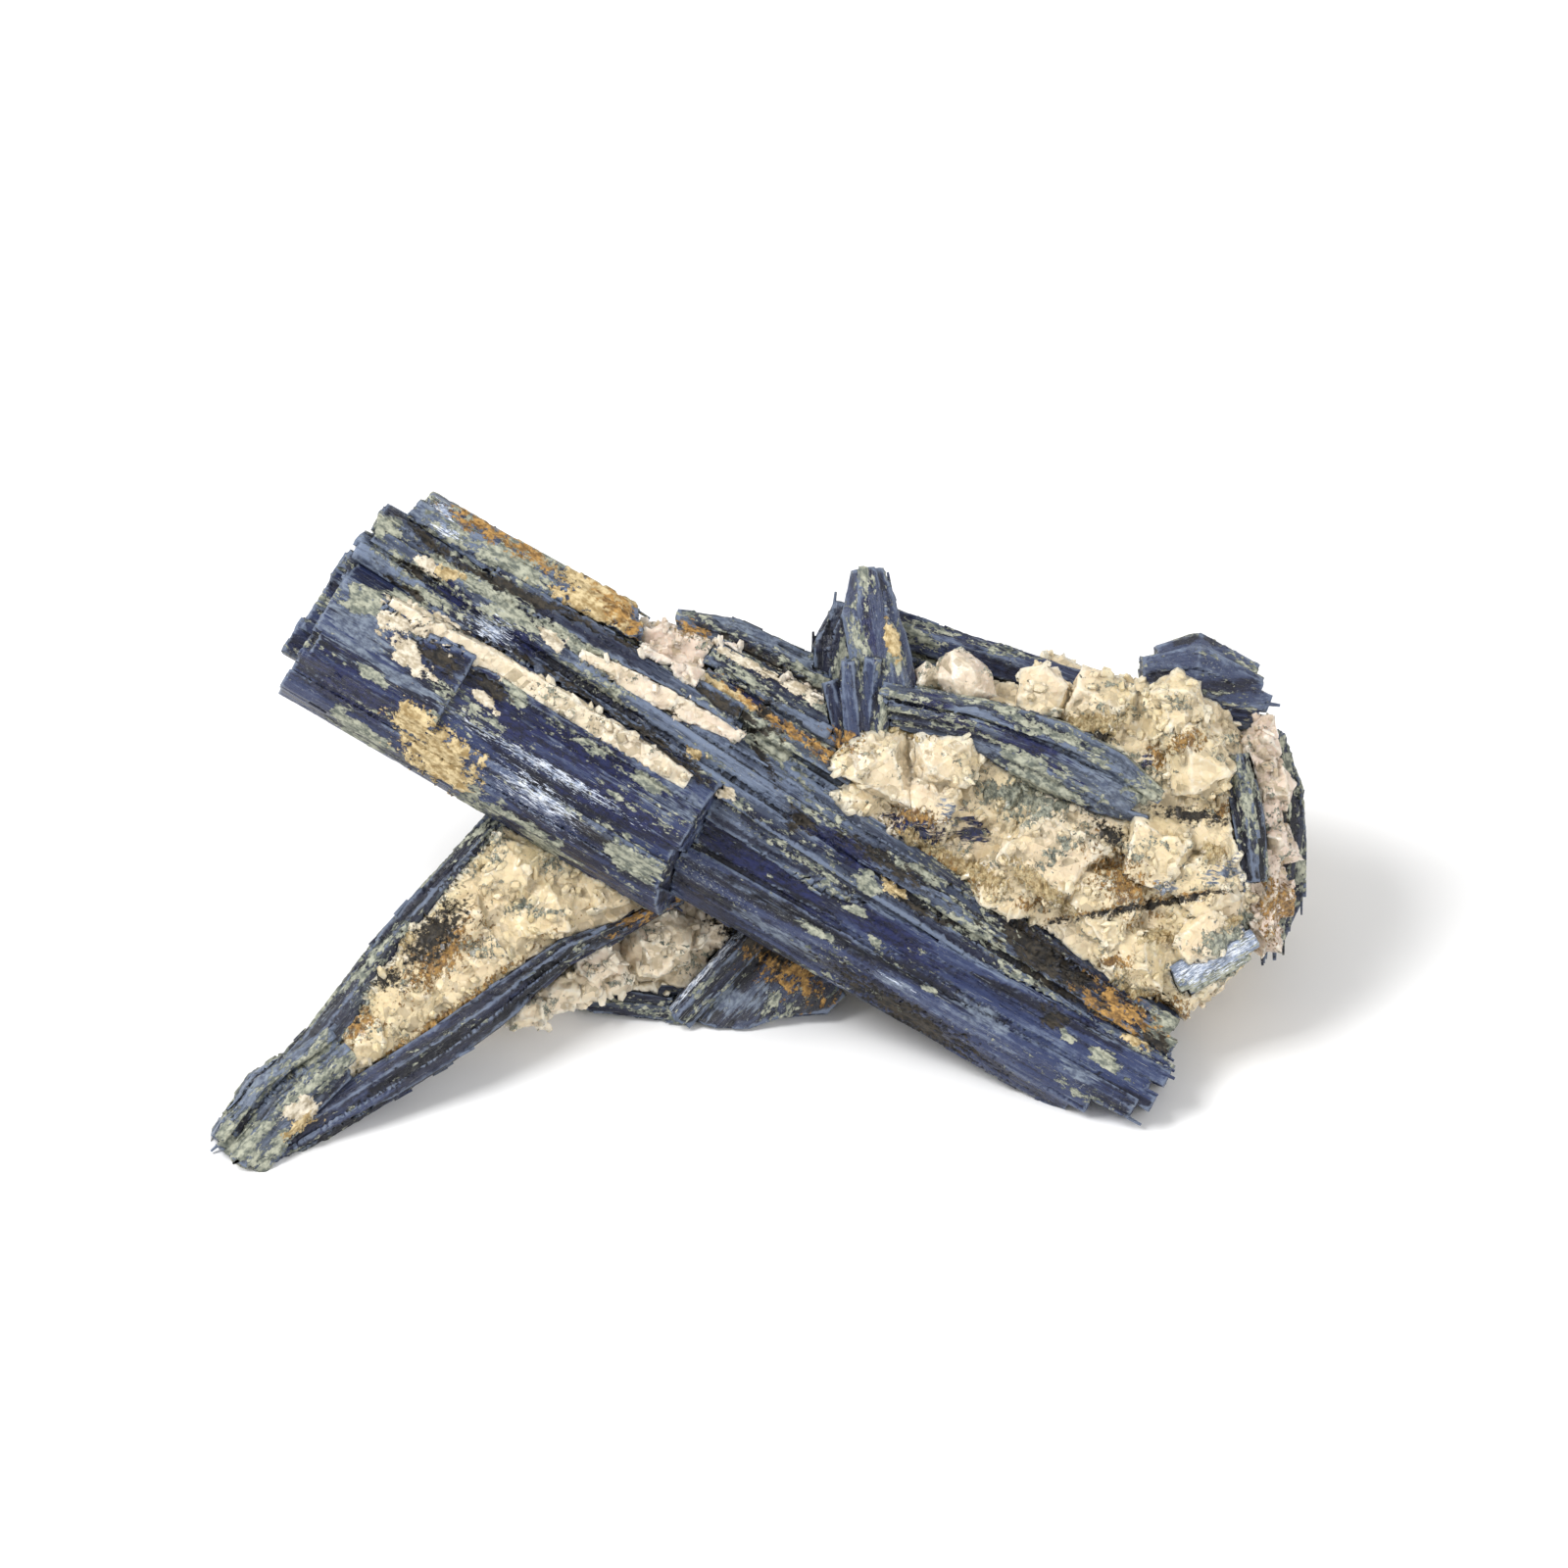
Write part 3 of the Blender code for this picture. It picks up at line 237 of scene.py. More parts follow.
# A patch: what it is, its middle (photograph pixels), its half length and half width (mm),
# its heading (degrees) and the nodes that it is on, or every node.
Patch = namedtuple("Patch", "kind spot size heading on", defaults=(SLAB, ()))
FRONT = ("front_blade",)
LONG = ("long_blade",)
LOWER = ("lower_blade",)
TOP = ("top_blade",)
BLOCK = ("quartz_block",)
RIDGE = ("ridge_blade_near", "ridge_blade_middle", "ridge_blade_far")
ARM_QUARTZ = ("quartz_arm",)
# The dark patches are painted shade, the white ones painted highlights, and the pale grey-blue ones
# partly painted sheen.
PATCHES = {
    "front grey end": Patch("pale_blue_sheen", (372, 640), (4.8, 2.8), -48, FRONT),
    "front navy band": Patch("deep", (365, 706), (6.2, 2.2), -35, FRONT),
    "front pale streak": Patch("pale_blue_sheen", (412, 694), (5.2, 0.8), SLAB, FRONT),
    "front pale flecks": Patch("pale", (384, 688), (2.4, 0.7), SLAB, FRONT),
    "front cream one": Patch("cream", (413, 633), (2.7, 2.1), SLAB, FRONT),
    "front cream two": Patch("cream", (455, 642), (3.0, 1.7), SLAB, FRONT),
    "front cream three": Patch("cream", (421, 670), (3.2, 1.3), -50, FRONT),
    "front hole": Patch("dark", (449, 670), (2.7, 1.1), -38, FRONT + ("quartz_vein",)),
    "front cream four": Patch("cream", (509, 678), (1.9, 1.1), SLAB, FRONT),
    "front yellow": Patch("pale", (529, 703), (2.2, 1.5), SLAB, FRONT),
    "front shadow": Patch("dark", (503, 701), (2.2, 0.7), SLAB, FRONT),
    "front cream five": Patch("cream", (497, 714), (1.9, 0.6), -36, FRONT),
    "front ochre upper": Patch("ochre", (424, 738), (2.6, 2.2), -60, FRONT),
    "front ochre lower": Patch("ochre", (452, 775), (4.9, 3.1), -36, FRONT),
    "front bevel one": Patch("pale", (362, 744), (4.6, 1.5), -33, FRONT),
    "front bevel two": Patch("pale", (482, 822), (5.0, 2.2), -33, FRONT),
    "front bevel three": Patch("pale", (552, 862), (4.4, 1.7), -33, FRONT),
    "front crust": Patch("pale", (643, 876), (3.8, 1.3), -25, FRONT),
    # The next three patches are painted highlights: the sparkle and glints off the front blade.
    "front sparkle": Patch("painted_highlight", (551, 814), (2.8, 0.9), -36, FRONT),
    "front glint one": Patch("painted_highlight", (545, 777), (6.4, 0.3), -31, FRONT),
    "front glint two": Patch("painted_highlight", (586, 797), (4.4, 0.25), -31, FRONT),
    "front clear blue": Patch("deep", (612, 776), (9.0, 1.9), SLAB, FRONT),
    "front deep foot": Patch("deep", (640, 828), (7.0, 1.6), SLAB, FRONT),
    "front plain grey": Patch("deep", (520, 738), (5.2, 1.8), SLAB, FRONT),
    "front end patch": Patch("pale_blue_sheen", (690, 818), (3.0, 1.6), SLAB, FRONT),
    "front end rim": Patch("pale", (668, 800), (2.4, 1.0), SLAB, FRONT),
    "front seam one": Patch("dark", (500, 657), (6.0, 0.45), -24, FRONT + LONG),
    "front seam two": Patch("dark", (600, 714), (7.0, 0.55), -35, FRONT + LONG),
    "front seam three": Patch("dark", (684, 772), (4.0, 0.7), -34, FRONT + LONG),
    "top seam one": Patch("dark", (440, 552), (3.4, 0.6), -44, LONG + TOP),
    "top seam two": Patch("dark", (535, 606), (10.5, 0.55), -25, LONG + TOP),
    "top seam three": Patch("dark", (650, 660), (4.6, 0.5), -28, LONG + TOP),
    "long olive one": Patch("pale", (490, 600), (7.5, 1.0), -29, LONG),
    "long olive two": Patch("pale", (590, 660), (6.0, 0.8), -31, LONG),
    "long corner": Patch("pale", (388, 535), (3.4, 1.3), -25, LONG),
    "long sky patch": Patch("pale_blue_sheen", (391, 572), (1.8, 1.5), SLAB, LONG),
    "long tan one": Patch("cream", (438, 579), (1.7, 0.7), SLAB, LONG),
    "long tan two": Patch("ochre", (461, 587), (1.6, 0.9), SLAB, LONG),
    "long split one": Patch("dark", (424, 583), (2.8, 0.5), SLAB, LONG),
    "long split two": Patch("dark", (413, 604), (2.6, 1.0), SLAB, LONG),
    "long crust one": Patch("pale", (377, 612), (2.3, 1.9), SLAB, LONG + FRONT),
    "long crust two": Patch("pale", (417, 617), (2.6, 1.1), SLAB, LONG + FRONT),
    "long grey scales": Patch("pale", (524, 630), (3.8, 1.3), SLAB, LONG),
    "long lump": Patch("cream", (566, 655), (1.7, 0.9), SLAB, LONG),
    # A painted highlight.
    "long glint": Patch("painted_highlight", (505, 644), (1.5, 0.9), SLAB, LONG),
    "long navy one": Patch("deep", (528, 652), (3.2, 1.1), SLAB, LONG),
    "long navy two": Patch("deep", (470, 612), (4.2, 1.0), SLAB, LONG),
    "long shadow": Patch("dark", (668, 756), (4.4, 0.8), -36, LONG),
    "long ochre fleck": Patch("ochre", (708, 768), (1.4, 0.7), SLAB, LONG),
    "long cream fleck": Patch("cream", (739, 808), (1.7, 0.8), SLAB, LONG),
    "long recess": Patch("dark", (816, 838), (1.5, 1.0), -40, LONG),
    "long navy slope": Patch("deep", (856, 860), (4.8, 1.4), -34, LONG),
    "long pale step": Patch("pale", (886, 899), (1.8, 1.5), SLAB, LONG + LOWER),
    "long ochre step": Patch("ochre", (911, 907), (1.7, 0.7), SLAB, LONG),
    "long black seam": Patch("dark", (936, 925), (3.4, 0.6), -24, LONG),
    "long grey run": Patch("pale", (945, 893), (6.0, 0.7), -32, LONG),
    "long dark run": Patch("dark", (905, 880), (5.0, 0.9), -30, LONG),
    "long black slope": Patch("dark", (1058, 972), (6.6, 2.3), -40, LONG),
    "long brown end": Patch("rust", (1140, 1032), (3.6, 1.6), -36, LONG),
    "long pale end": Patch("pale", (1192, 1048), (2.8, 2.4), -40, LONG),
    "long dark end": Patch("dark", (1180, 1068), (2.4, 1.2), -36, LONG),
    "lower sky bevel": Patch("pale_blue_sheen", (842, 884), (6.6, 1.6), SLAB, LOWER),
    "lower navy one": Patch("deep", (790, 890), (8.0, 1.3), SLAB, LOWER),
    "lower navy two": Patch("deep", (905, 950), (7.2, 1.3), -28, LOWER),
    "lower crumb one": Patch("pale", (786, 893), (0.9, 0.3), SLAB, LOWER),
    "lower crumb two": Patch("pale", (876, 929), (1.5, 0.6), SLAB, LOWER),
    "lower crumb three": Patch("pale", (893, 961), (1.2, 0.5), SLAB, LOWER),
    "lower olive": Patch("pale", (838, 952), (3.6, 0.7), SLAB, LOWER),
    "lower streak": Patch("pale_blue_sheen", (795, 954), (4.6, 0.5), SLAB, LOWER),
    # A painted highlight.
    "lower glint": Patch("painted_highlight", (914, 1001), (1.3, 0.12), -28, LOWER),
    "lower flake two": Patch("pale_blue_sheen", (912, 1002), (2.4, 0.5), -28, LOWER),
    "lower flake three": Patch("pale_blue_sheen", (998, 1033), (2.8, 1.0), SLAB, LOWER),
    "lower yellow": Patch("pale", (950, 1010), (2.0, 0.7), SLAB, LOWER),
    "lower black": Patch("dark", (930, 1042), (9.5, 1.3), SLAB, LOWER),
    "lower sky top": Patch("pale_blue_sheen", (1028, 968), (6.6, 1.1), -36, LOWER),
    "lower violet": Patch("deep", (1072, 1010), (6.8, 1.3), SLAB, LOWER),
    "lower lilac end": Patch("pale_blue_sheen", (1140, 1041), (2.4, 1.5), SLAB, LOWER),
    "lower ochre end": Patch("ochre", (1160, 1060), (1.8, 1.0), -36, LOWER),
    "lower pit": Patch("dark", (1073, 1039), (1.4, 1.1), SLAB, LOWER),
    "lower green one": Patch("pale", (1088, 1057), (1.2, 0.7), SLAB, LOWER),
    "lower green two": Patch("pale", (1124, 1079), (1.8, 0.8), SLAB, LOWER),
    "lower tip": Patch("pale_blue_sheen", (1101, 1095), (1.6, 0.7), SLAB, LOWER),
    "top sky end": Patch("pale_blue_sheen", (450, 526), (3.4, 1.8), SLAB, TOP),
    # The next two patches are painted highlights.
    "top glint one": Patch("painted_highlight", (454, 521), (1.0, 0.3), -40, TOP),
    "top glint two": Patch("painted_highlight", (455, 542), (1.0, 0.4), -30, TOP),
    "top rust streak": Patch("rust", (498, 540), (4.2, 0.9), -27, TOP),
    "top rust seam": Patch("rust", (541, 563), (2.7, 0.9), -38, TOP),
    "top green skin": Patch("pale", (532, 582), (5.6, 2.2), -35, TOP),
    "top blue window": Patch("deep", (561, 575), (1.2, 0.5), -40, TOP),
    "top ochre": Patch("ochre", (610, 608), (5.4, 3.6), -40, TOP),
    "top ochre rust": Patch("rust", (634, 626), (3.0, 1.1), -48, TOP),
    "ridge rust seam": Patch("rust", (707, 644), (1.4, 0.8), -20, ()),
    "ridge cream one": Patch("cream", (762, 676), (5.0, 0.5), -27, RIDGE),
    "ridge cream two": Patch("cream", (812, 700), (3.6, 0.7), -30, RIDGE),
    "ridge tan": Patch("ochre", (742, 706), (5.0, 0.6), -30, RIDGE),
    "ridge violet": Patch("deep", (765, 712), (4.0, 0.5), -34, RIDGE),
    "ridge brown two": Patch("rust", (800, 740), (6.0, 0.6), -36, RIDGE),
    "ridge dark one": Patch("dark", (776, 768), (3.4, 0.5), -62, RIDGE + LONG),
    "ridge dark two": Patch("dark", (785, 676), (6.4, 0.6), -29, RIDGE),
    "ridge dark three": Patch("dark", (745, 722), (6.0, 0.5), -31, RIDGE + LONG),
    "ridge sky": Patch("pale_blue_sheen", (790, 655), (5.6, 0.9), -28, RIDGE),
    "ridge hole": Patch("dark", (781, 727), (0.8, 1.3), -10, ()),
    "ridge rust fan": Patch("rust", (861, 756), (1.5, 1.0), -30, ()),
    "ridge pale one": Patch("pale", (790, 760), (4.5, 1.3), SLAB, LONG + ("ridge_blade_near",)),
    "ridge brown one": Patch("rust", (835, 762), (3.4, 0.7), SLAB, LONG + ("ridge_blade_near",)),
    "upright stripe": Patch("ochre", (910, 654), (2.6, 0.8), 100, ("upright_blade",)),
    "upright core": Patch("deep", (886, 640), (3.4, 1.0), 97, ("upright_blade",)),
    "upright green": Patch("pale", (912, 672), (2.6, 1.0), 105, ("upright_blade",)),
    "curved core one": Patch("deep", (966, 731), (5.0, 1.2), -28, ("curved_blade",)),
    "curved core two": Patch("deep", (1048, 760), (4.6, 1.6), -26, ("curved_blade",)),
    "curved flank": Patch("pale", (1046, 796), (6.4, 2.8), -30, ("curved_blade",)),
    "block green": Patch("pale", (1040, 812), (6.0, 2.2), -28, BLOCK),
    "block green two": Patch("pale", (1150, 805), (3.4, 1.6), -20, BLOCK),
    "curved sky": Patch("pale_blue_sheen", (1140, 797), (4.6, 2.8), -20, ("curved_blade",)),
    "curved end": Patch("pale", (1172, 812), (3.6, 2.0), -34, ("curved_blade",)),
    "block amber one": Patch("ochre", (1100, 742), (4.6, 1.4), 14, BLOCK),
    "block amber two": Patch("ochre", (905, 735), (5.2, 0.8), -24, BLOCK),
    "block amber three": Patch("ochre", (1060, 905), (5.0, 1.0), -40, BLOCK),
    "block rust one": Patch("rust", (1206, 757), (1.8, 0.8), 20, BLOCK),
    "block rust two": Patch("rust", (1181, 774), (0.8, 1.0), 0, BLOCK),
    "block rust three": Patch("rust", (1246, 826), (0.9, 0.9), 0, BLOCK),
    "block ochre one": Patch("ochre", (1237, 869), (1.2, 1.3), 30, BLOCK),
    "block orange": Patch("rust", (1144, 900), (3.4, 1.8), -50, BLOCK),
    "block pit": Patch("dark", (1120, 754), (1.8, 0.5), 15, BLOCK),
    "block blue one": Patch("deep", (932, 846), (3.2, 1.7), -20, BLOCK),
    "block blue rust": Patch("rust", (938, 834), (2.2, 0.7), -12, BLOCK),
    "block blue two": Patch("pale_blue_sheen", (969, 829), (1.4, 0.6), -70, BLOCK),
    "block blue three": Patch("deep", (991, 850), (1.7, 1.4), -50, BLOCK),
    "block blue four": Patch("deep", (1168, 780), (1.1, 0.6), 80, BLOCK),
    "block blue five": Patch("pale_blue_sheen", (1185, 906), (1.3, 0.6), 0, BLOCK),
    "block blue six": Patch("pale_blue_sheen", (1250, 890), (1.8, 1.0), 20, BLOCK),
    "block black one": Patch("dark", (1132, 851), (2.0, 0.9), -50, BLOCK),
    "block black two": Patch("dark", (1216, 831), (3.4, 0.7), -6, BLOCK),
    "block brown one": Patch("rust", (1053, 921), (1.5, 0.7), 0, BLOCK),
    "block yellow one": Patch("ochre", (996, 890), (3.8, 1.3), -30, BLOCK),
    "block yellow two": Patch("ochre", (1180, 954), (2.0, 0.9), 0, BLOCK),
    "block yellow three": Patch("ochre", (1258, 940), (1.1, 0.7), 0, BLOCK),
    "block orange two": Patch("rust", (1134, 980), (1.6, 0.7), 10, BLOCK),
    "block ochre foot": Patch("ochre", (1158, 1022), (3.8, 2.0), -40, BLOCK),
    "block rust foot": Patch("rust", (1200, 1036), (2.8, 1.4), -30, BLOCK),
    "block sea green": Patch("pale", (1258, 966), (4.2, 3.0), 20, BLOCK),
    "block crack": Patch("dark", (1165, 925), (10.2, 0.4), 10, BLOCK),
    "block crack rust": Patch("rust", (1165, 922), (8.4, 0.25), 10, BLOCK),
    "block rust left": Patch("rust", (945, 880), (5.0, 1.0), -32, BLOCK),
    "block yellow left": Patch("ochre", (950, 872), (5.6, 1.6), -32, BLOCK),
    "side rust": Patch("rust", (1318, 928), (3.0, 3.0), 0, ("quartz_side",)),
    # A painted highlight.
    "plate shine": Patch("painted_highlight", (1240, 978), (5.0, 1.0), 28, ("pale_plate",)),
    "plate streak one": Patch("pale", (1254, 990), (4.6, 0.9), 28, ("pale_plate",)),
    "plate streak two": Patch("pale_blue_sheen", (1222, 985), (4.0, 0.8), 28, ("pale_plate",)),
    "arm pit one": Patch("dark", (442, 954), (4.2, 2.0), 48, ARM_QUARTZ),
    "arm pit two": Patch("dark", (394, 996), (1.8, 1.2), 0, ARM_QUARTZ),
    "arm pit three": Patch("dark", (363, 1031), (1.2, 0.9), 30, ARM_QUARTZ),
    "arm pit four": Patch("dark", (343, 1064), (1.2, 0.6), 20, ARM_QUARTZ),
    "arm rust one": Patch("rust", (450, 975), (4.0, 1.6), 48, ARM_QUARTZ),
    "arm rust two": Patch("rust", (366, 1044), (2.0, 1.3), 30, ARM_QUARTZ),
    "arm olive": Patch("pale", (357, 1030), (4.4, 2.0), 50, ARM_QUARTZ),
    "arm ochre one": Patch("ochre", (412, 960), (2.2, 1.2), 50, ARM_QUARTZ),
    "arm ochre edge one": Patch("ochre", (450, 1042), (8.0, 0.5), 36, ARM_QUARTZ),
    "arm rust edge": Patch("rust", (420, 1062), (13.0, 0.4), 37, ARM_QUARTZ),
    "arm olive two": Patch("ochre", (425, 925), (5.0, 1.2), 52, ARM_QUARTZ),
    "arm edge brown": Patch("rust", (668, 925), (4.0, 0.9), 30, ("arm_lower_blade",)),
    "arm tip sky": Patch("pale_blue_sheen", (282, 1094), (6.4, 2.2), 40, ("arm_tip", "arm_upper_blade")),
    "arm tip green": Patch("pale", (249, 1160), (4.2, 2.6), 50, ("arm_tip",)),
    "arm tip grain": Patch("cream", (310, 1130), (2.1, 1.3), 25, ("arm_tip",)),
    "arm tip ochre": Patch("ochre", (308, 1147), (2.0, 0.8), 30, ("arm_tip", "arm_lower_blade")),
    # A painted highlight.
    "foot glint": Patch("painted_highlight", (724, 986), (5.8, 0.3), 47, ("foot_blade",)),
    "foot brown": Patch("rust", (800, 985), (4.4, 1.8), -35, ("foot_blade", "quartz_foot")),
    "foot dark": Patch("dark", (770, 962), (4.6, 1.2), -32, ("foot_blade", "quartz_foot")),
    "foot grey": Patch("pale_blue_sheen", (744, 1024), (4.4, 1.4), 10, ("foot_blade",)),
}

# A kyanite piece: the path that its grain follows (face-on millimetres), how blue and how
# light it is, how readily pale crust forms on it and how rough it is.
Blade = namedtuple("Blade", "path blue light crust rough", defaults=(1.0,))


def slab(s, t, n=0.0):
    """A point s along the main slab and t across it, face on."""
    turn = math.radians(SLAB)
    return (s * math.cos(turn) - t * math.sin(turn), s * math.sin(turn) + t * math.cos(turn), n)


BLADES = {
    "front_blade": Blade([slab(-60, -2), slab(0, -2)], 1.0, -0.12, -0.75, 0.45),
    "long_blade": Blade([(-47, 35.4, 0), (0, 4.6, 0), (47.4, -25.6, 0)], 0.5, 0.0, -0.5),
    "lower_blade": Blade([(-15.5, 2.5, 0), (15, -14.8, 0), (45.8, -32, 0)], 1.0, -0.08, -0.75, 0.7),
    "top_blade": Blade([slab(-55.4, 11.4), slab(-25, 12.3)], 0.6, 0.1, -0.3),
    "ridge_blade_near": Blade([slab(-15.5, 10.8), slab(6.5, 10.4)], 0.3, 0.0, -0.3, 1.2),
    "ridge_blade_middle": Blade([(-6.6, 20.6, 0), (9, 12, 0)], 0.35, 0.0, -0.35, 1.2),
    "ridge_blade_far": Blade([(-11.2, 24.6, -2), (9.6, 16.2, -2)], 0.35, -0.05, -0.35, 1.2),
    "upright_blade": Blade([(15.3, 8, 1.5), (14.1, 19.5, 1.6), (12.2, 31.3, 0)], 0.8, 0.0, -0.4, 0.4),
    "dark_stub": Blade([(9.5, 16, -4.5), (10, 26.4, -4)], 0.4, -0.25, -0.7),
    "rear_blade": Blade([(13.5, 24.3, -4.6), (41, 15.3, -6.4)], 0.9, -0.1, -0.5),
    "corner_crystal": Blade([(45.4, 18.6, -4.5), (58.6, 17.2, -5.5)], 0.8, 0.05, -0.35, 0.3),
    "curved_blade": Blade(
        [(10, 17, 3), (25.6, 14.4, 4.6), (34.9, 11.2, 5.4), (42, 7.4, 5.2), (48, 2.4, 4.2)],
        0.4, 0.18, -0.32, 0.9),
    "side_blade_inner": Blade([(56, 10.4, 0), (59.6, -11, 0)], 0.3, -0.3, -0.35),
    "side_blade_outer": Blade([(60.6, 11, -7), (62.5, 0.5, -7), (60.8, -14, -8)], 0.5, -0.25, -0.4),
    "pale_plate": Blade([(46.5, -18.4, 3.6), (58, -11.4, 2.4)], 0.3, 0.5, -0.1, 0.3),
    "arm_upper_blade": Blade(
        [(-62.6, -34.6, 7), (-43.8, -12.4, 1), (-28, 5.7, -6)], 0.1, -0.4, -0.42),
    "arm_lower_blade": Blade([(-60, -38.6, 7), (-32.6, -21.1, 1), (-9.5, -7.4, -8)], 0.9, -0.32, -0.8),
    "arm_tip": Blade([(-50.5, -25.8, 5), (-62.4, -37.8, 7)], 0.35, 0.1, -0.2),
    "foot_blade": Blade([(-10.6, -22.4, -11), (-1, -11.8, -9)], 0.7, -0.25, -0.65, 0.5),
    "foot_plate": Blade([(-25, -22, -11), (-9, -23, -11)], 0.3, 0.0, -0.2),
    "back_blade": Blade([(-8, 12, -21), (20, 6.5, -29), (50, 1, -31)], 0.9, 0.0, -0.5),
}

# A quartz piece: how warm, how pink and how rough it is.
Quartz = namedtuple("Quartz", "warm pink rough")
QUARTZES = {
    "quartz_vein": Quartz(0.3, 0.1, 0.75),
    "quartz_vein_upper": Quartz(0.3, 0.4, 0.75),
    "quartz_pebble": Quartz(0.1, 0.45, 0.4),
    "quartz_side": Quartz(0.2, 0.7, 0.8),
    "quartz_ridge": Quartz(0.2, 0.7, 0.9),
    "quartz_arm": Quartz(0.8, 0.25, 0.9),
    "quartz_foot": Quartz(0.4, 0.35, 0.9),
    "quartz_block": Quartz(0.6, 0.2, 1.0),
}

# The spacing of the fine surface's points in millimetres, where it isn't the usual one.
PITCHES = {
    "quartz_block": 0.47,
    "quartz_foot": 0.48,
    "back_blade": 0.6,
    "front_blade": 0.335,
    "lower_blade": 0.33,
    "long_blade": 0.39,
}


# How near two of a solid's corners are when they are one, in metres.
SAME_POINT = 0.001 * MM
# The furthest that a sharp corner grows, as a multiple of the swell.
CORNER_LIMIT = 1.6
# The largest share of its grid that the Remesh modifier lets a shape fill.
REMESH_SHARE = 0.99


class KyaniteSizes(bpy.types.PropertyGroup):
    """Sizes of the fine surface."""

    pitch: bpy.props.FloatProperty(
        name="Surface pitch", description="Spacing of the fine surface's points",
        default=0.37 * MM, subtype="DISTANCE")
    swell: bpy.props.FloatProperty(
        name="Swell", description="How far each surface grows to close the gap to its neighbour",
        default=0.16 * MM, subtype="DISTANCE")
    lath_width: bpy.props.FloatProperty(
        name="Lath width", description="Width of a kyanite lath, in millimetres", default=1.5)
    lath_length: bpy.props.FloatProperty(
        name="Lath length", description="Length of a kyanite lath, in millimetres", default=15.0)
    step: bpy.props.FloatProperty(
        name="Step", description="Height between neighbouring laths, in millimetres", default=0.5)
    facet_depth: bpy.props.FloatProperty(
        name="Facet depth", description="Relief of the broken quartz, in millimetres", default=0.6)
    crumbs: bpy.props.FloatProperty(
        name="Crumbs", description="Loose-looking grains of quartz to a square millimetre, of each shape",
        default=0.09)
    splinters: bpy.props.FloatProperty(
        name="Splinters", description="Splinters of kyanite to a square millimetre", default=0.05)


class KyaniteColours(bpy.types.PropertyGroup):
    """Colours of the stone."""

    blue: bpy.props.FloatVectorProperty(
        name="Kyanite blue", description="The blades' own blue", subtype="COLOR", size=4,
        min=0.0, max=1.0, default=srgb(46, 57, 93))
    dark: bpy.props.FloatVectorProperty(
        name="Kyanite dark", description="The blades' dark streaks", subtype="COLOR", size=4,
        min=0.0, max=1.0, default=srgb(22, 26, 50))
    light: bpy.props.FloatVectorProperty(
        name="Kyanite light", description="The blades' light streaks and worn edges",
        subtype="COLOR", size=4, min=0.0, max=1.0, default=srgb(118, 131, 154))
    grey: bpy.props.FloatVectorProperty(
        name="Kyanite grey", description="The greyer blades", subtype="COLOR", size=4,
        min=0.0, max=1.0, default=srgb(72, 80, 86))
    quartz: bpy.props.FloatVectorProperty(
        name="Quartz", description="The quartz's own beige", subtype="COLOR", size=4,
        min=0.0, max=1.0, default=srgb(224, 210, 185))
    warm: bpy.props.FloatVectorProperty(
        name="Warm quartz", description="The yellower quartz", subtype="COLOR", size=4,
        min=0.0, max=1.0, default=srgb(224, 204, 161))
    pink: bpy.props.FloatVectorProperty(
        name="Pink quartz", description="The pinker quartz", subtype="COLOR", size=4,
        min=0.0, max=1.0, default=srgb(220, 199, 182))
    shade: bpy.props.FloatVectorProperty(
        name="Clear quartz", description="The darker, clearer grains of quartz", subtype="COLOR",
        size=4, min=0.0, max=1.0, default=srgb(166, 151, 122))


class KyaniteStudio(bpy.types.PropertyGroup):
    """The studio round the specimen."""

    lens: bpy.props.FloatProperty(
        name="Lens", description="Focal length of the camera, in millimetres", default=193.2)
    distance: bpy.props.FloatProperty(
        name="Camera distance", description="From the specimen's drawing plane to the camera",
        default=1.0, subtype="DISTANCE")
    key_power: bpy.props.FloatProperty(
        name="Key light", description="Power of the key light, in watts", default=7.5)
    fill_power: bpy.props.FloatProperty(
        name="Fill light", description="Power of the fill light, in watts", default=2.4)
    sky: bpy.props.FloatProperty(
        name="Surroundings", description="Strength of the white surroundings", default=0.7)


def add(tree, kind, inputs=None, **settings):
    """A node with its settings made and its inputs set or wired."""
    node = tree.nodes.new(kind)
    for key, value in settings.items():
        setattr(node, key, value)
    for key, value in (inputs or {}).items():
        if isinstance(value, bpy.types.NodeSocket):
            tree.links.new(value, node.inputs[key])
        else:
            node.inputs[key].default_value = value
    return node


def maths(tree, operation, *values):
    """A sum, product or the like of numbers."""
    return add(tree, "ShaderNodeMath", dict(enumerate(values)), operation=operation).outputs[0]


def vector_maths(tree, operation, *values):
    """The same for vectors."""
    node = add(tree, "ShaderNodeVectorMath", dict(enumerate(values)), operation=operation)
    return node.outputs["Value" if operation == "DOT_PRODUCT" else "Vector"]


def red(tree, colour):
    """A colour's first channel, as a number."""
    return vector_maths(tree, "DOT_PRODUCT", colour, (1.0, 0.0, 0.0))


def between(tree, value, low, high, to_low=0.0, to_high=1.0):
    """A smooth change from to_low, where the value is low, to to_high, where it is high."""
    inputs = {"Value": value, "From Min": low, "From Max": high, "To Min": to_low, "To Max": to_high}
    return add(tree, "ShaderNodeMapRange", inputs, interpolation_type="SMOOTHSTEP").outputs[0]


def blend(tree, factor, low, high):
    """A colour between two others."""
    return add(tree, "ShaderNodeMix", {0: factor, 6: low, 7: high}, data_type="RGBA").outputs[2]


def mixed(tree, factor, low, high):
    """A number between two others."""
    return add(tree, "ShaderNodeMix", {0: factor, 2: low, 3: high}).outputs[0]


def band(tree, value, name):
    """The named effect's strength at this value."""
    return between(tree, value, *BANDS[name])


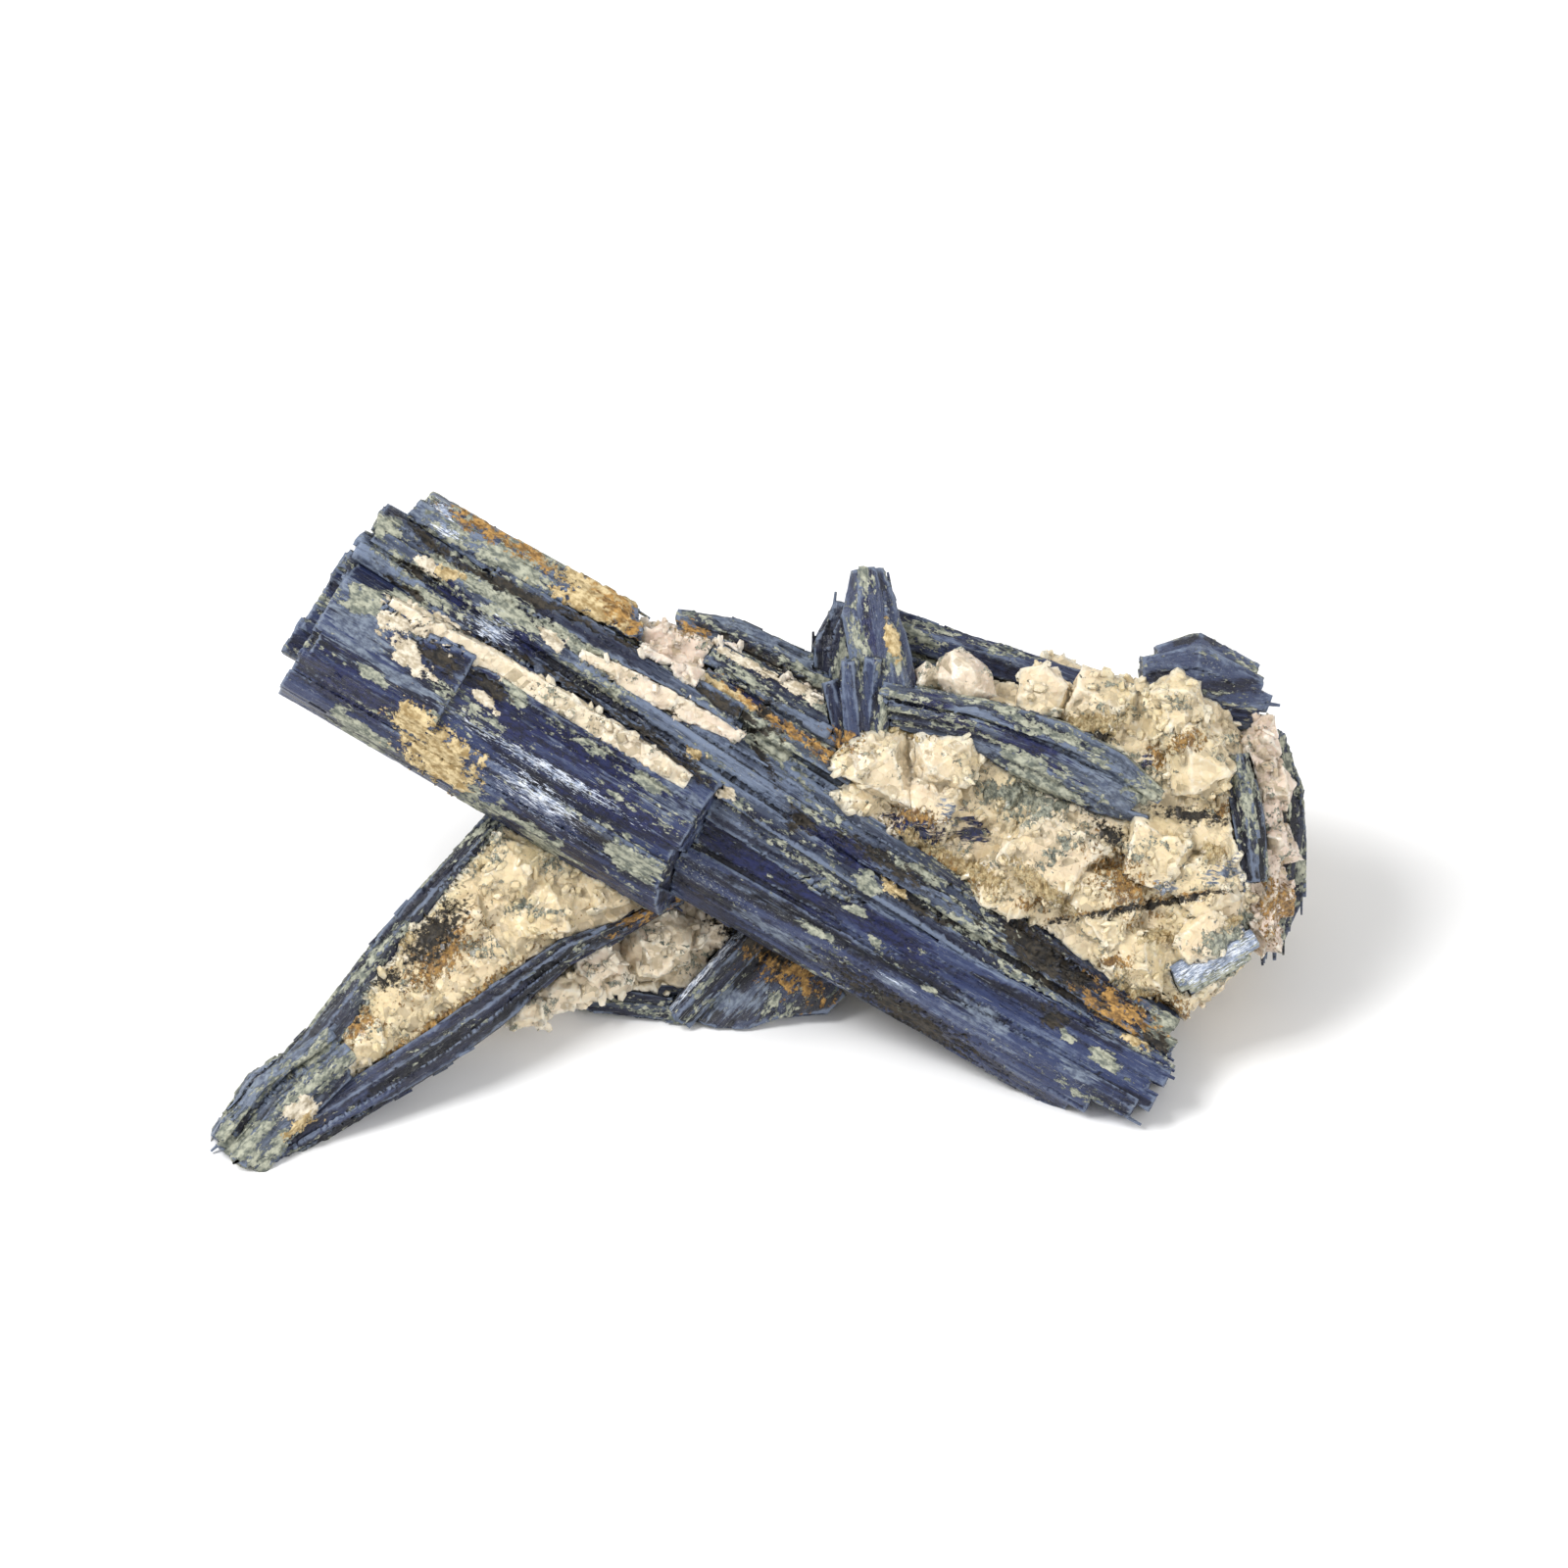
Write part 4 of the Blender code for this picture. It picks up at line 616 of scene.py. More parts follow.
def noise(tree, vector, kind):
    """A noise of this kind, between 0 and 1."""
    scaled = vector_maths(tree, "MULTIPLY", vector, tuple(1.0 / part for part in kind.size))
    inputs = {
        "Vector": scaled, "W": kind.seed, "Scale": 1.0, "Detail": kind.detail,
        "Roughness": kind.rough,
    }
    return add(tree, "ShaderNodeTexNoise", inputs, noise_dimensions="4D").outputs[0]


def cells(tree, vector, size, shift):
    """The Voronoi node of cells of this size, and the vector that it reads."""
    scaled = vector_maths(tree, "MULTIPLY", vector, tuple(1.0 / part for part in size))
    moved = vector_maths(tree, "ADD", scaled, (shift, shift * 0.37, shift * 0.61))
    return add(tree, "ShaderNodeTexVoronoi", {"Vector": moved, "Scale": 1.0}), moved


def facets(tree, vector, size, shift):
    """Height of flat facets, each tilted its own way, and a random tone for each."""
    voronoi, moved = cells(tree, vector, (size, size, size), shift)
    offset = vector_maths(tree, "SUBTRACT", moved, voronoi.outputs["Position"])
    tilt = vector_maths(tree, "SUBTRACT", voronoi.outputs["Color"], (0.5, 0.5, 0.5))
    return vector_maths(tree, "DOT_PRODUCT", offset, tilt), voronoi.outputs["Color"]


def new_group(name, kind, inputs, outputs):
    """A node group with these sockets, and its input and output sockets by name."""
    tree = bpy.data.node_groups.new(name, kind)
    for label, socket, default in inputs:
        item = tree.interface.new_socket(label, in_out="INPUT", socket_type=socket)
        if default is not None:
            item.default_value = default
    for label, socket in outputs:
        tree.interface.new_socket(label, in_out="OUTPUT", socket_type=socket)
    start = tree.nodes.new("NodeGroupInput")
    end = tree.nodes.new("NodeGroupOutput")
    return tree, start.outputs, end.inputs


def named(tree, name, kind="FLOAT"):
    """A named attribute of the surface, in Geometry Nodes."""
    return add(
        tree, "GeometryNodeInputNamedAttribute", {"Name": name}, data_type=kind
    ).outputs["Attribute"]


def squeezed(tree, vector, squeeze):
    """The grain's place with its length along the grain scaled."""
    return vector_maths(tree, "MULTIPLY", vector, (squeeze, 1.0, 1.0))


def ragged_value(tree, kind, vector, field):
    """An overlay's field with its edge broken up by noise."""
    overlay = OVERLAYS[kind]
    size = (overlay.size * overlay.stretch, overlay.size, overlay.size)
    seed = EDGE_SEED + list(OVERLAYS).index(kind)
    edge = noise(tree, vector, Noise(size, seed, 3.0, 0.7))
    ragged = maths(tree, "MULTIPLY_ADD", edge, overlay.ragged, -overlay.ragged / 2)
    if kind == "pale":
        drift = maths(tree, "SUBTRACT", noise(tree, vector, PALE_DRIFT), 0.5)
        ragged = maths(tree, "MULTIPLY_ADD", drift, PALE_DRIFT_STRENGTH, ragged)
    return maths(tree, "ADD", field, ragged)


def crust_height(tree, squeeze):
    """The height that the crusts add, in millimetres."""
    grain = squeezed(tree, named(tree, "grain", "FLOAT_VECTOR"), squeeze)
    total = None
    for kind, overlay in OVERLAYS.items():
        if not overlay.height:
            continue
        value = ragged_value(tree, kind, grain, named(tree, kind))
        height = between(tree, value, *CRUST_RISE, 0.0, overlay.height)
        total = height if total is None else maths(tree, "ADD", total, height)
    lumps = noise(tree, grain, CRUST_LUMPS)
    return maths(tree, "MULTIPLY", total, maths(tree, "ADD", lumps, 0.5))


def scattered(tree, surface, shape, density, seed, small, large, rotation):
    """Copies of a shape over the surface, so many to a square millimetre, sizes in millimetres."""
    points = add(
        tree, "GeometryNodeDistributePointsOnFaces",
        {"Mesh": surface, "Density": maths(tree, "DIVIDE", density, MM * MM), "Seed": seed},
    ).outputs["Points"]
    position = add(tree, "GeometryNodeInputPosition").outputs[0]
    points = add(
        tree, "GeometryNodeStoreNamedAttribute",
        {"Geometry": points, "Name": "anchor", "Value": position}, data_type="FLOAT_VECTOR",
    ).outputs[0]
    size = add(
        tree, "FunctionNodeRandomValue",
        {
            0: tuple(part * MM for part in small),
            1: tuple(part * MM for part in large),
            "Seed": seed + 1,
        },
        data_type="FLOAT_VECTOR",
    ).outputs[0]
    copies = add(
        tree, "GeometryNodeInstanceOnPoints",
        {"Points": points, "Instance": shape, "Rotation": rotation, "Scale": size},
    ).outputs[0]
    copies = add(tree, "GeometryNodeRealizeInstances", {"Geometry": copies}).outputs[0]
    offset = vector_maths(tree, "SUBTRACT", position, named(tree, "anchor", "FLOAT_VECTOR"))
    offset = vector_maths(tree, "DIVIDE", offset, (MM, MM, MM))
    place = vector_maths(tree, "ADD", named(tree, "grain", "FLOAT_VECTOR"), offset)
    return add(
        tree, "GeometryNodeStoreNamedAttribute",
        {"Geometry": copies, "Name": "grain", "Value": place}, data_type="FLOAT_VECTOR",
    ).outputs[0]


def quartz_crumbs(tree, surface, start):
    """Faceted grains of two shapes, turned every way."""
    parts = []
    ball = add(tree, "GeometryNodeMeshIcoSphere", {"Radius": 0.5, "Subdivisions": 1}).outputs["Mesh"]
    lump = add(
        tree, "GeometryNodeMeshUVSphere", {"Radius": 0.5, "Segments": 5, "Rings": 3}).outputs["Mesh"]
    for seed, shape in ((11, ball), (23, lump)):
        turn = add(
            tree, "FunctionNodeRandomValue",
            {0: (0.0, 0.0, 0.0), 1: (FULL_TURN, FULL_TURN, FULL_TURN), "Seed": seed},
            data_type="FLOAT_VECTOR",
        ).outputs[0]
        parts.append(scattered(
            tree, surface, shape, start["Crumbs"], seed, *GRAIN_SIZES, turn))
    return parts


def kyanite_splinters(tree, surface, start):
    """Slender splinters along the grain, gathered along worn edges and in drifts."""
    shape = add(
        tree, "GeometryNodeMeshCone",
        {"Vertices": 5, "Radius Top": 0.34, "Radius Bottom": 0.5, "Depth": 1.0},
    ).outputs["Mesh"]
    wobble = add(
        tree, "FunctionNodeRandomValue",
        {0: (-SPLINTER_WOBBLE,) * 3, 1: (SPLINTER_WOBBLE,) * 3, "Seed": 5},
        data_type="FLOAT_VECTOR",
    ).outputs[0]
    along = vector_maths(tree, "ADD", start["Axis"], wobble)
    turn = add(tree, "FunctionNodeAlignRotationToVector", {"Vector": along}, axis="Z").outputs[0]
    drift = noise(tree, named(tree, "grain", "FLOAT_VECTOR"), SPLINTER_DRIFT)
    worn = band(tree, named(tree, "worn"), "worn splinters")
    density = maths(tree, "ADD", band(tree, drift, "drifting splinters"), worn)
    normal = add(tree, "GeometryNodeInputNormal").outputs[0]
    ends = maths(tree, "ABSOLUTE", vector_maths(tree, "DOT_PRODUCT", normal, start["Axis"]))
    density = maths(tree, "MULTIPLY", density, band(tree, ends, "splinters at ends"))
    density = maths(tree, "MULTIPLY", density, start["Splinters"])
    return [scattered(tree, surface, shape, density, 31, *SPLINTER_SIZES, turn)]


def finish_relief(tree, geometry, height, start, extras, end):
    """Moves the surface by the height (mm), stores it for the material, and ends the tree."""
    position = add(tree, "GeometryNodeInputPosition").outputs[0]
    normal = add(tree, "GeometryNodeInputNormal").outputs[0]
    blurred = add(
        tree, "GeometryNodeBlurAttribute", {"Value": position, "Iterations": 6},
        data_type="FLOAT_VECTOR",
    ).outputs[0]
    bend = vector_maths(tree, "SUBTRACT", position, blurred)
    bend = maths(tree, "DIVIDE", vector_maths(tree, "DOT_PRODUCT", bend, normal), MM)
    for name, value in (("worn", bend), ("relief", height)):
        geometry = add(
            tree, "GeometryNodeStoreNamedAttribute",
            {"Geometry": geometry, "Name": name, "Value": value},
        ).outputs[0]
    reach = vector_maths(tree, "SCALE", normal)
    tree.links.new(maths(tree, "MULTIPLY", height, MM), reach.node.inputs["Scale"])
    geometry = add(
        tree, "GeometryNodeSetPosition", {"Geometry": geometry, "Offset": reach}
    ).outputs[0]
    joined = tree.nodes.new("GeometryNodeJoinGeometry")
    for part in extras(tree, geometry, start):
        flat = add(tree, "GeometryNodeSetShadeSmooth", {0: part, "Shade Smooth": False}).outputs[0]
        tree.links.new(flat, joined.inputs[0])
    smooth = add(tree, "GeometryNodeSetShadeSmooth", {0: geometry, "Shade Smooth": True}).outputs[0]
    tree.links.new(smooth, joined.inputs[0])
    geometry = add(
        tree, "GeometryNodeRealizeInstances", {"Geometry": joined.outputs[0]}).outputs[0]
    tree.links.new(
        add(
            tree, "GeometryNodeSetMaterial", {"Geometry": geometry, "Material": start["Material"]}
        ).outputs[0],
        end["Geometry"],
    )


def kyanite_relief():
    """Laths with uneven steps between them, fine ridges along the grain, chips and crusts."""
    tree, start, end = new_group(
        "Kyanite relief", "GeometryNodeTree",
        [
            ("Geometry", "NodeSocketGeometry", None),
            ("Lath Width", "NodeSocketFloat", 1.5),
            ("Lath Length", "NodeSocketFloat", 15.0),
            ("Step", "NodeSocketFloat", 0.4),
            ("Rough", "NodeSocketFloat", 1.0),
            ("Splinters", "NodeSocketFloat", 0.05),
            ("Axis", "NodeSocketVector", None),
            ("Seed", "NodeSocketFloat", 1.0),
            ("Material", "NodeSocketMaterial", None),
        ],
        [("Geometry", "NodeSocketGeometry")],
    )
    grain = named(tree, "grain", "FLOAT_VECTOR")
    waver = noise(tree, grain, WAVER)
    bent = vector_maths(
        tree, "ADD", grain,
        add(tree, "ShaderNodeCombineXYZ", {"Y": maths(tree, "MULTIPLY", waver, 0.8)}).outputs[0],
    )
    size = add(
        tree, "ShaderNodeCombineXYZ",
        {"X": start["Lath Length"], "Y": start["Lath Width"], "Z": start["Lath Width"]},
    ).outputs[0]
    lath_place = vector_maths(tree, "DIVIDE", bent, size)
    lath_place = vector_maths(
        tree, "ADD", lath_place,
        add(tree, "ShaderNodeCombineXYZ", {"X": start["Seed"], "Y": start["Seed"]}).outputs[0],
    )
    laths = add(tree, "ShaderNodeTexVoronoi", {"Vector": lath_place, "Scale": 1.0})
    shade = red(tree, laths.outputs["Color"])
    geometry = add(
        tree, "GeometryNodeStoreNamedAttribute",
        {"Geometry": start["Geometry"], "Name": "lath", "Value": shade},
    ).outputs[0]
    lath = maths(tree, "MULTIPLY", maths(tree, "SUBTRACT", shade, 0.6), start["Step"])
    ridges = maths(tree, "SUBTRACT", noise(tree, grain, RIDGES), 0.5)
    ridges = maths(tree, "MULTIPLY", ridges, 0.45)
    splits = band(tree, noise(tree, grain, SPLITS), "split step")
    chips = band(tree, noise(tree, grain, CHIPS), "chip step")
    height = maths(tree, "ADD", maths(tree, "ADD", lath, ridges), maths(tree, "ADD", splits, chips))
    height = maths(tree, "MULTIPLY", height, start["Rough"])
    height = maths(tree, "ADD", height, crust_height(tree, 1.0))
    finish_relief(tree, geometry, height, start, kyanite_splinters, end)
    return tree


def quartz_relief():
    """Broken facets of two sizes, over rounded lumps, with the crusts."""
    tree, start, end = new_group(
        "Quartz relief", "GeometryNodeTree",
        [
            ("Geometry", "NodeSocketGeometry", None),
            ("Depth", "NodeSocketFloat", 1.0),
            ("Crumbs", "NodeSocketFloat", 0.1),
            ("Seed", "NodeSocketFloat", 1.0),
            ("Material", "NodeSocketMaterial", None),
        ],
        [("Geometry", "NodeSocketGeometry")],
    )
    grain = named(tree, "grain", "FLOAT_VECTOR")
    place = vector_maths(tree, "ADD", grain, start["Seed"])
    coarse = facets(tree, place, *COARSE_FACETS)[0]
    middle = facets(tree, place, *MIDDLE_FACETS)[0]
    lumps = noise(tree, place, LUMPS)
    pits = noise(tree, place, PITS)
    height = maths(tree, "MULTIPLY", coarse, 1.4)
    height = maths(tree, "MULTIPLY_ADD", middle, 1.1, height)
    height = maths(tree, "MULTIPLY_ADD", maths(tree, "SUBTRACT", lumps, 0.6), 0.6, height)
    height = maths(tree, "ADD", height, band(tree, pits, "pit step"))
    height = maths(tree, "MULTIPLY", height, start["Depth"])
    height = maths(tree, "ADD", height, crust_height(tree, QUARTZ_SQUEEZE))
    finish_relief(tree, start["Geometry"], height, start, quartz_crumbs, end)
    return tree


def overlays_group():
    """The crusts and stains, with painted sheens, highlights and shade, over a stone's own colour."""
    inputs = [
        ("Color", "NodeSocketColor", None), ("Roughness", "NodeSocketFloat", 0.5),
        ("Height", "NodeSocketFloat", 0.0), ("Vector", "NodeSocketVector", None),
    ]
    inputs += [(kind, "NodeSocketFloat", -1.0) for kind in OVERLAYS]
    outputs = [
        ("Color", "NodeSocketColor"), ("Roughness", "NodeSocketFloat"), ("Height", "NodeSocketFloat"),
    ]
    tree, start, end = new_group("Crusts and stains", "ShaderNodeTree", inputs, outputs)
    colour, roughness, height = start["Color"], start["Roughness"], start["Height"]
    vector = start["Vector"]
    crumbs = noise(tree, vector, CRUMBLE)
    grit = maths(tree, "MULTIPLY_ADD", crumbs, 0.6, facets(tree, vector, *GRIT_FACETS)[0])
    for i, (kind, overlay) in enumerate(OVERLAYS.items()):
        value = ragged_value(tree, kind, vector, start[kind])
        mask = between(tree, value, -overlay.soft, overlay.soft)
        shade = noise(tree, vector, Noise(TONES_SIZE, TONES_SEED + i, 2.0, 0.75))
        skin = blend(tree, band(tree, shade, "skin"), overlay.low, overlay.high)
        colour = blend(tree, mask, colour, skin)
        roughness = mixed(tree, mask, roughness, overlay.rough)
        if overlay.rough > GRITTY:
            height = mixed(tree, mask, height, grit)
    for label, socket in (("Color", colour), ("Roughness", roughness), ("Height", height)):
        tree.links.new(socket, end[label])
    return tree


def kyanite_group():
    """Blue kyanite: streaks along the grain, light worn edges, and painted shade in the crevices and
    splits.
    """
    tree, start, end = new_group(
        "Kyanite streaks", "ShaderNodeTree",
        [
            ("Vector", "NodeSocketVector", None), ("Relief", "NodeSocketFloat", 0.0),
            ("Worn", "NodeSocketFloat", 0.0), ("Seed", "NodeSocketFloat", 0.0),
            ("Light", "NodeSocketFloat", 0.0), ("Lath", "NodeSocketFloat", 0.0),
            ("Blue", "NodeSocketColor", None),
            ("Dark Streak", "NodeSocketColor", None), ("Light Streak", "NodeSocketColor", None),
        ],
        [("Color", "NodeSocketColor"), ("Roughness", "NodeSocketFloat"), ("Height", "NodeSocketFloat")],
    )
    vector = start["Vector"]
    seeded = vector_maths(tree, "ADD", vector, start["Seed"])
    tone = start["Light"]
    streaks = {}
    for name, (kind, share) in STREAKS.items():
        streaks[name] = noise(tree, seeded, kind)
        tone = maths(tree, "MULTIPLY_ADD", streaks[name], share, tone)
    dust = streaks["dust"]
    # Raised places are made lighter and recessed ones darker: painted shade.
    tone = maths(tree, "MULTIPLY_ADD", start["Relief"], 0.25, tone)
    tone = maths(tree, "MULTIPLY_ADD", start["Lath"], 0.4, tone)
    colour = blend(tree, band(tree, tone, "dark"), start["Dark Streak"], start["Blue"])
    colour = blend(tree, band(tree, tone, "light"), colour, start["Light Streak"])
    colour = blend(tree, band(tree, tone, "night"), colour, NIGHT)
    worn = noise(tree, vector, WEAR)
    worn = maths(tree, "MULTIPLY_ADD", maths(tree, "SUBTRACT", worn, 0.5), 0.5, start["Worn"])
    colour = blend(tree, band(tree, worn, "worn"), colour, start["Light Streak"])
    scratches = band(tree, noise(tree, seeded, SCRATCHES), "scratch")
    cloud = maths(tree, "SUBTRACT", streaks["cloud"], 0.5)
    specks = maths(tree, "MULTIPLY_ADD", cloud, 0.5, noise(tree, seeded, SPECKS))
    pale = maths(tree, "MAXIMUM", scratches, band(tree, specks, "fleck"))
    colour = blend(tree, pale, colour, FLECK)
    # Hollow places are darkened to near black: painted shade in the crevices and the deep splits.
    colour = blend(tree, band(tree, start["Worn"], "crevice"), colour, CREVICE_SHADE)
    colour = blend(tree, band(tree, start["Relief"], "split"), colour, SPLIT_SHADE)
    tree.links.new(colour, end["Color"])
    tree.links.new(maths(tree, "MULTIPLY_ADD", dust, 0.5, 0.08), end["Roughness"])
    height = maths(tree, "MULTIPLY", streaks["fine"], 0.9)
    height = maths(tree, "MULTIPLY_ADD", dust, 0.5, height)
    tree.links.new(maths(tree, "MULTIPLY_ADD", pale, 0.2, height), end["Height"])
    return tree


def quartz_group():
    """Granular quartz: cells of slightly different tone, white glints, and brown stain with painted shade
    in the hollows.
    """
    tree, start, end = new_group(
        "Quartz grains", "ShaderNodeTree",
        [
            ("Vector", "NodeSocketVector", None), ("Relief", "NodeSocketFloat", 0.0),
            ("Worn", "NodeSocketFloat", 0.0), ("Warm", "NodeSocketFloat", 0.0),
            ("Pink", "NodeSocketFloat", 0.0), ("Quartz", "NodeSocketColor", None),
            ("Warm Quartz", "NodeSocketColor", None), ("Pink Quartz", "NodeSocketColor", None),
            ("Clear Quartz", "NodeSocketColor", None),
        ],
        [("Color", "NodeSocketColor"), ("Roughness", "NodeSocketFloat"), ("Height", "NodeSocketFloat")],
    )
    vector = start["Vector"]
    big, big_tone = facets(tree, vector, *BIG_FACETS)
    small, small_tone = facets(tree, vector, *SMALL_FACETS)
    fine = noise(tree, vector, QUARTZ_FINE)
    drift = maths(tree, "SUBTRACT", noise(tree, vector, WARM_DRIFT), 0.5)
    warm = maths(tree, "ADD", start["Warm"], drift)
    colour = blend(tree, band(tree, warm, "warm"), start["Quartz"], start["Warm Quartz"])
    drift = maths(tree, "SUBTRACT", noise(tree, vector, PINK_DRIFT), 0.5)
    pink = maths(tree, "ADD", start["Pink"], drift)
    colour = blend(tree, band(tree, pink, "pink"), colour, start["Pink Quartz"])
    big_grey = red(tree, big_tone)
    small_grey = red(tree, small_tone)
    clear = maths(tree, "MULTIPLY_ADD", small_grey, 0.45, maths(tree, "MULTIPLY", big_grey, 0.4))
    clear = maths(tree, "MULTIPLY_ADD", fine, 0.6, clear)
    clear = maths(tree, "MULTIPLY_ADD", start["Worn"], -0.8, clear)
    colour = blend(tree, band(tree, clear, "clear"), colour, start["Clear Quartz"])
    # The hollows turn brown: a rust stain, and painted shade there too.
    hollow = maths(tree, "MULTIPLY_ADD", fine, -0.8, start["Relief"])
    colour = blend(tree, band(tree, hollow, "hollow"), colour, HOLLOW_STAIN_AND_SHADE)
    worn = maths(tree, "MULTIPLY_ADD", fine, 0.3, start["Worn"])
    colour = blend(tree, band(tree, worn, "worn quartz"), colour, WORN_QUARTZ)
    glints = cells(tree, vector, *GLINT_CELLS)[0]
    spark = band(tree, red(tree, glints.outputs["Color"]), "spark")
    colour = blend(tree, maths(tree, "MULTIPLY", spark, 0.3), colour, GLINT)
    roughness = maths(tree, "MULTIPLY_ADD", small_grey, 0.3, 0.28)
    roughness = mixed(tree, spark, roughness, 0.12)
    height = maths(tree, "MULTIPLY_ADD", big, 1.8, maths(tree, "MULTIPLY", fine, 0.15))
    height = maths(tree, "MULTIPLY_ADD", small, 0.9, height)
    for label, socket in (("Color", colour), ("Roughness", roughness), ("Height", height)):
        tree.links.new(socket, end[label])
    return tree


def attribute(tree, name, output="Fac"):
    """A named attribute of the surface, in a material."""
    return add(tree, "ShaderNodeAttribute", attribute_name=name).outputs[output]


def stone_material(name, base_group, values, bump, squeeze, gloss):
    """A material: a stone's own group, then the crusts and stains, then the shader."""
    material = bpy.data.materials.new(name)
    material.use_nodes = True
    tree = material.node_tree
    shader = tree.nodes["Principled BSDF"]
    vector = attribute(tree, "grain", "Vector")
    inputs = {"Vector": vector, "Relief": attribute(tree, "relief"), "Worn": attribute(tree, "worn")}
    base = tree.nodes.new("ShaderNodeGroup")
    base.node_tree = base_group
    skins = tree.nodes.new("ShaderNodeGroup")
    skins.node_tree = bpy.data.node_groups["Crusts and stains"]
    for key, value in {**inputs, **values}.items():
        if isinstance(value, str):
            value = attribute(tree, value)
        if isinstance(value, bpy.types.NodeSocket):
            tree.links.new(value, base.inputs[key])
        else:
            base.inputs[key].default_value = value
    tree.links.new(squeezed(tree, vector, squeeze), skins.inputs["Vector"])
    for label in ("Color", "Roughness", "Height"):
        tree.links.new(base.outputs[label], skins.inputs[label])
    for kind in OVERLAYS:
        tree.links.new(attribute(tree, kind), skins.inputs[kind])
    tree.links.new(skins.outputs["Color"], shader.inputs["Base Color"])
    tree.links.new(skins.outputs["Roughness"], shader.inputs["Roughness"])
    bumped = add(
        tree, "ShaderNodeBump",
        {"Height": skins.outputs["Height"], "Strength": 1.0, "Distance": bump * MM},
    )
    tree.links.new(bumped.outputs[0], shader.inputs["Normal"])
    for label, value in gloss.items():
        shader.inputs[label].default_value = value
    return material


def grain_coordinates(points, path):
    """Each point's place along, across and out of the path, in millimetres."""
    best = np.full(len(points), np.inf)
    result = np.zeros((len(points), 3))
    run = 0.0
    for i, (start, end) in enumerate(zip(path, path[1:])):
        start, end = np.array(start, float), np.array(end, float)
        length = np.linalg.norm(end - start)
        along = (end - start) / length
        across = np.cross((0, 0, 1), along)
        across /= np.linalg.norm(across)
        out = np.cross(along, across)
        offset = points - start
        reach = offset @ along
        low = -np.inf if i == 0 else 0.0
        high = np.inf if i == len(path) - 2 else length
        clamped = np.clip(reach, low, high)
        away = np.linalg.norm(offset - clamped[:, None] * along, axis=1)
        nearer = away < best
        best[nearer] = away[nearer]
        values = np.stack([run + reach, offset @ across, offset @ out], axis=1)
        result[nearer] = values[nearer]
        run += length
    return result


def heading(path):
    """The path's direction from its first to its last point, as it lies in the frame."""
    return (FACE.to_3x3() @ (Vector(path[-1]) - Vector(path[0]))).normalized()


def patch_values(points, facing, node):
    """Each overlay's field on a node: 1 at a patch's middle, 0 at its edge, falling outwards.

    A raised crust's field is steeper, and each falls where the surface turns from the viewer.
    """
    fields = {kind: np.full(len(points), FAR_FIELD) for kind in OVERLAYS}
    for patch in PATCHES.values():
        if patch.on and node not in patch.on:
            continue
        x = points[:, 0] - (patch.spot[0] - ORIGIN_PIXEL[0]) / PIXELS_PER_MM
        y = points[:, 1] - (ORIGIN_PIXEL[1] - patch.spot[1]) / PIXELS_PER_MM
        turn = math.radians(patch.heading)
        along = (x * math.cos(turn) + y * math.sin(turn)) / patch.size[0]
        across = (y * math.cos(turn) - x * math.sin(turn)) / patch.size[1]
        sway = np.sin(1.9 * y + 1.1 * x + patch.spot[0])
        along += SWAY_ALONG * sway * np.abs(across).clip(0, SWAY_LIMIT)
        sway = np.sin(1.7 * x - 0.8 * y + patch.spot[1])
        across += SWAY_ACROSS * sway * np.abs(along).clip(0, SWAY_LIMIT)
        fade = FADE_RATE * np.clip(FADE_FACING - facing, 0.0, 1.0)
        value = 1.0 - np.hypot(along, across) - fade
        if OVERLAYS[patch.kind].height > 0:
            value *= CRUST_SLOPE
        fields[patch.kind] = np.maximum(fields[patch.kind], value)
    return fields


def store(mesh, name, values):
    """Keeps one number or one vector for each vertex."""
    kind, key = ("FLOAT_VECTOR", "vector") if values.ndim == 2 else ("FLOAT", "value")
    layer = mesh.attributes.new(name, kind, "POINT")
    layer.data.foreach_set(key, np.ascontiguousarray(values, dtype=np.float32).ravel())


def evaluated_mesh(thing):
    """The mesh that the object's modifiers make, as a plain mesh, with the modifiers gone."""
    bpy.context.view_layer.update()
    graph = bpy.context.evaluated_depsgraph_get()
    mesh = bpy.data.meshes.new_from_object(thing.evaluated_get(graph))
    old = thing.data
    thing.modifiers.clear()
    thing.data = mesh
    bpy.data.meshes.remove(old)
    return mesh


def remeshed(node, pitch, swell):
    """A new object: the node's solid, grown a little and covered with an even fine mesh."""
    bm = bmesh.new()
    bm.from_mesh(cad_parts[node].data)
    bmesh.ops.remove_doubles(bm, verts=bm.verts[:], dist=SAME_POINT)
    bm.normal_update()
    moves = [v.normal * min(v.calc_shell_factor(), CORNER_LIMIT) * swell for v in bm.verts]
    for v, move in zip(bm.verts, moves):
        v.co += move
    mesh = bpy.data.meshes.new("surface_" + node)
    bm.to_mesh(mesh)
    bm.free()
    thing = bpy.data.objects.new("surface_" + node, mesh)
    bpy.context.scene.collection.objects.link(thing)
    remesh = thing.modifiers.new("fine mesh", "REMESH")
    remesh.mode = "SHARP"
    remesh.use_remove_disconnected = False
    count = max(thing.dimensions) / pitch
    remesh.octree_depth = math.ceil(math.log2(count / REMESH_SHARE))
    remesh.scale = count / 2 ** remesh.octree_depth
    evaluated_mesh(thing)
    return thing


def vertex_arrays(mesh):
    """The mesh's points in face-on millimetres, and how far each faces the viewer."""
    count = len(mesh.vertices)
    points = np.empty(count * 3, dtype=np.float32)
    normals = np.empty(count * 3, dtype=np.float32)
    mesh.vertices.foreach_get("co", points)
    mesh.vertex_normals.foreach_get("vector", normals)
    points = points.reshape(-1, 3)
    back = np.array(FACE.inverted())
    placed = (points @ back[:3, :3].T + back[:3, 3]) / MM
    facing = normals.reshape(-1, 3) @ back[2, :3]
    return placed, facing


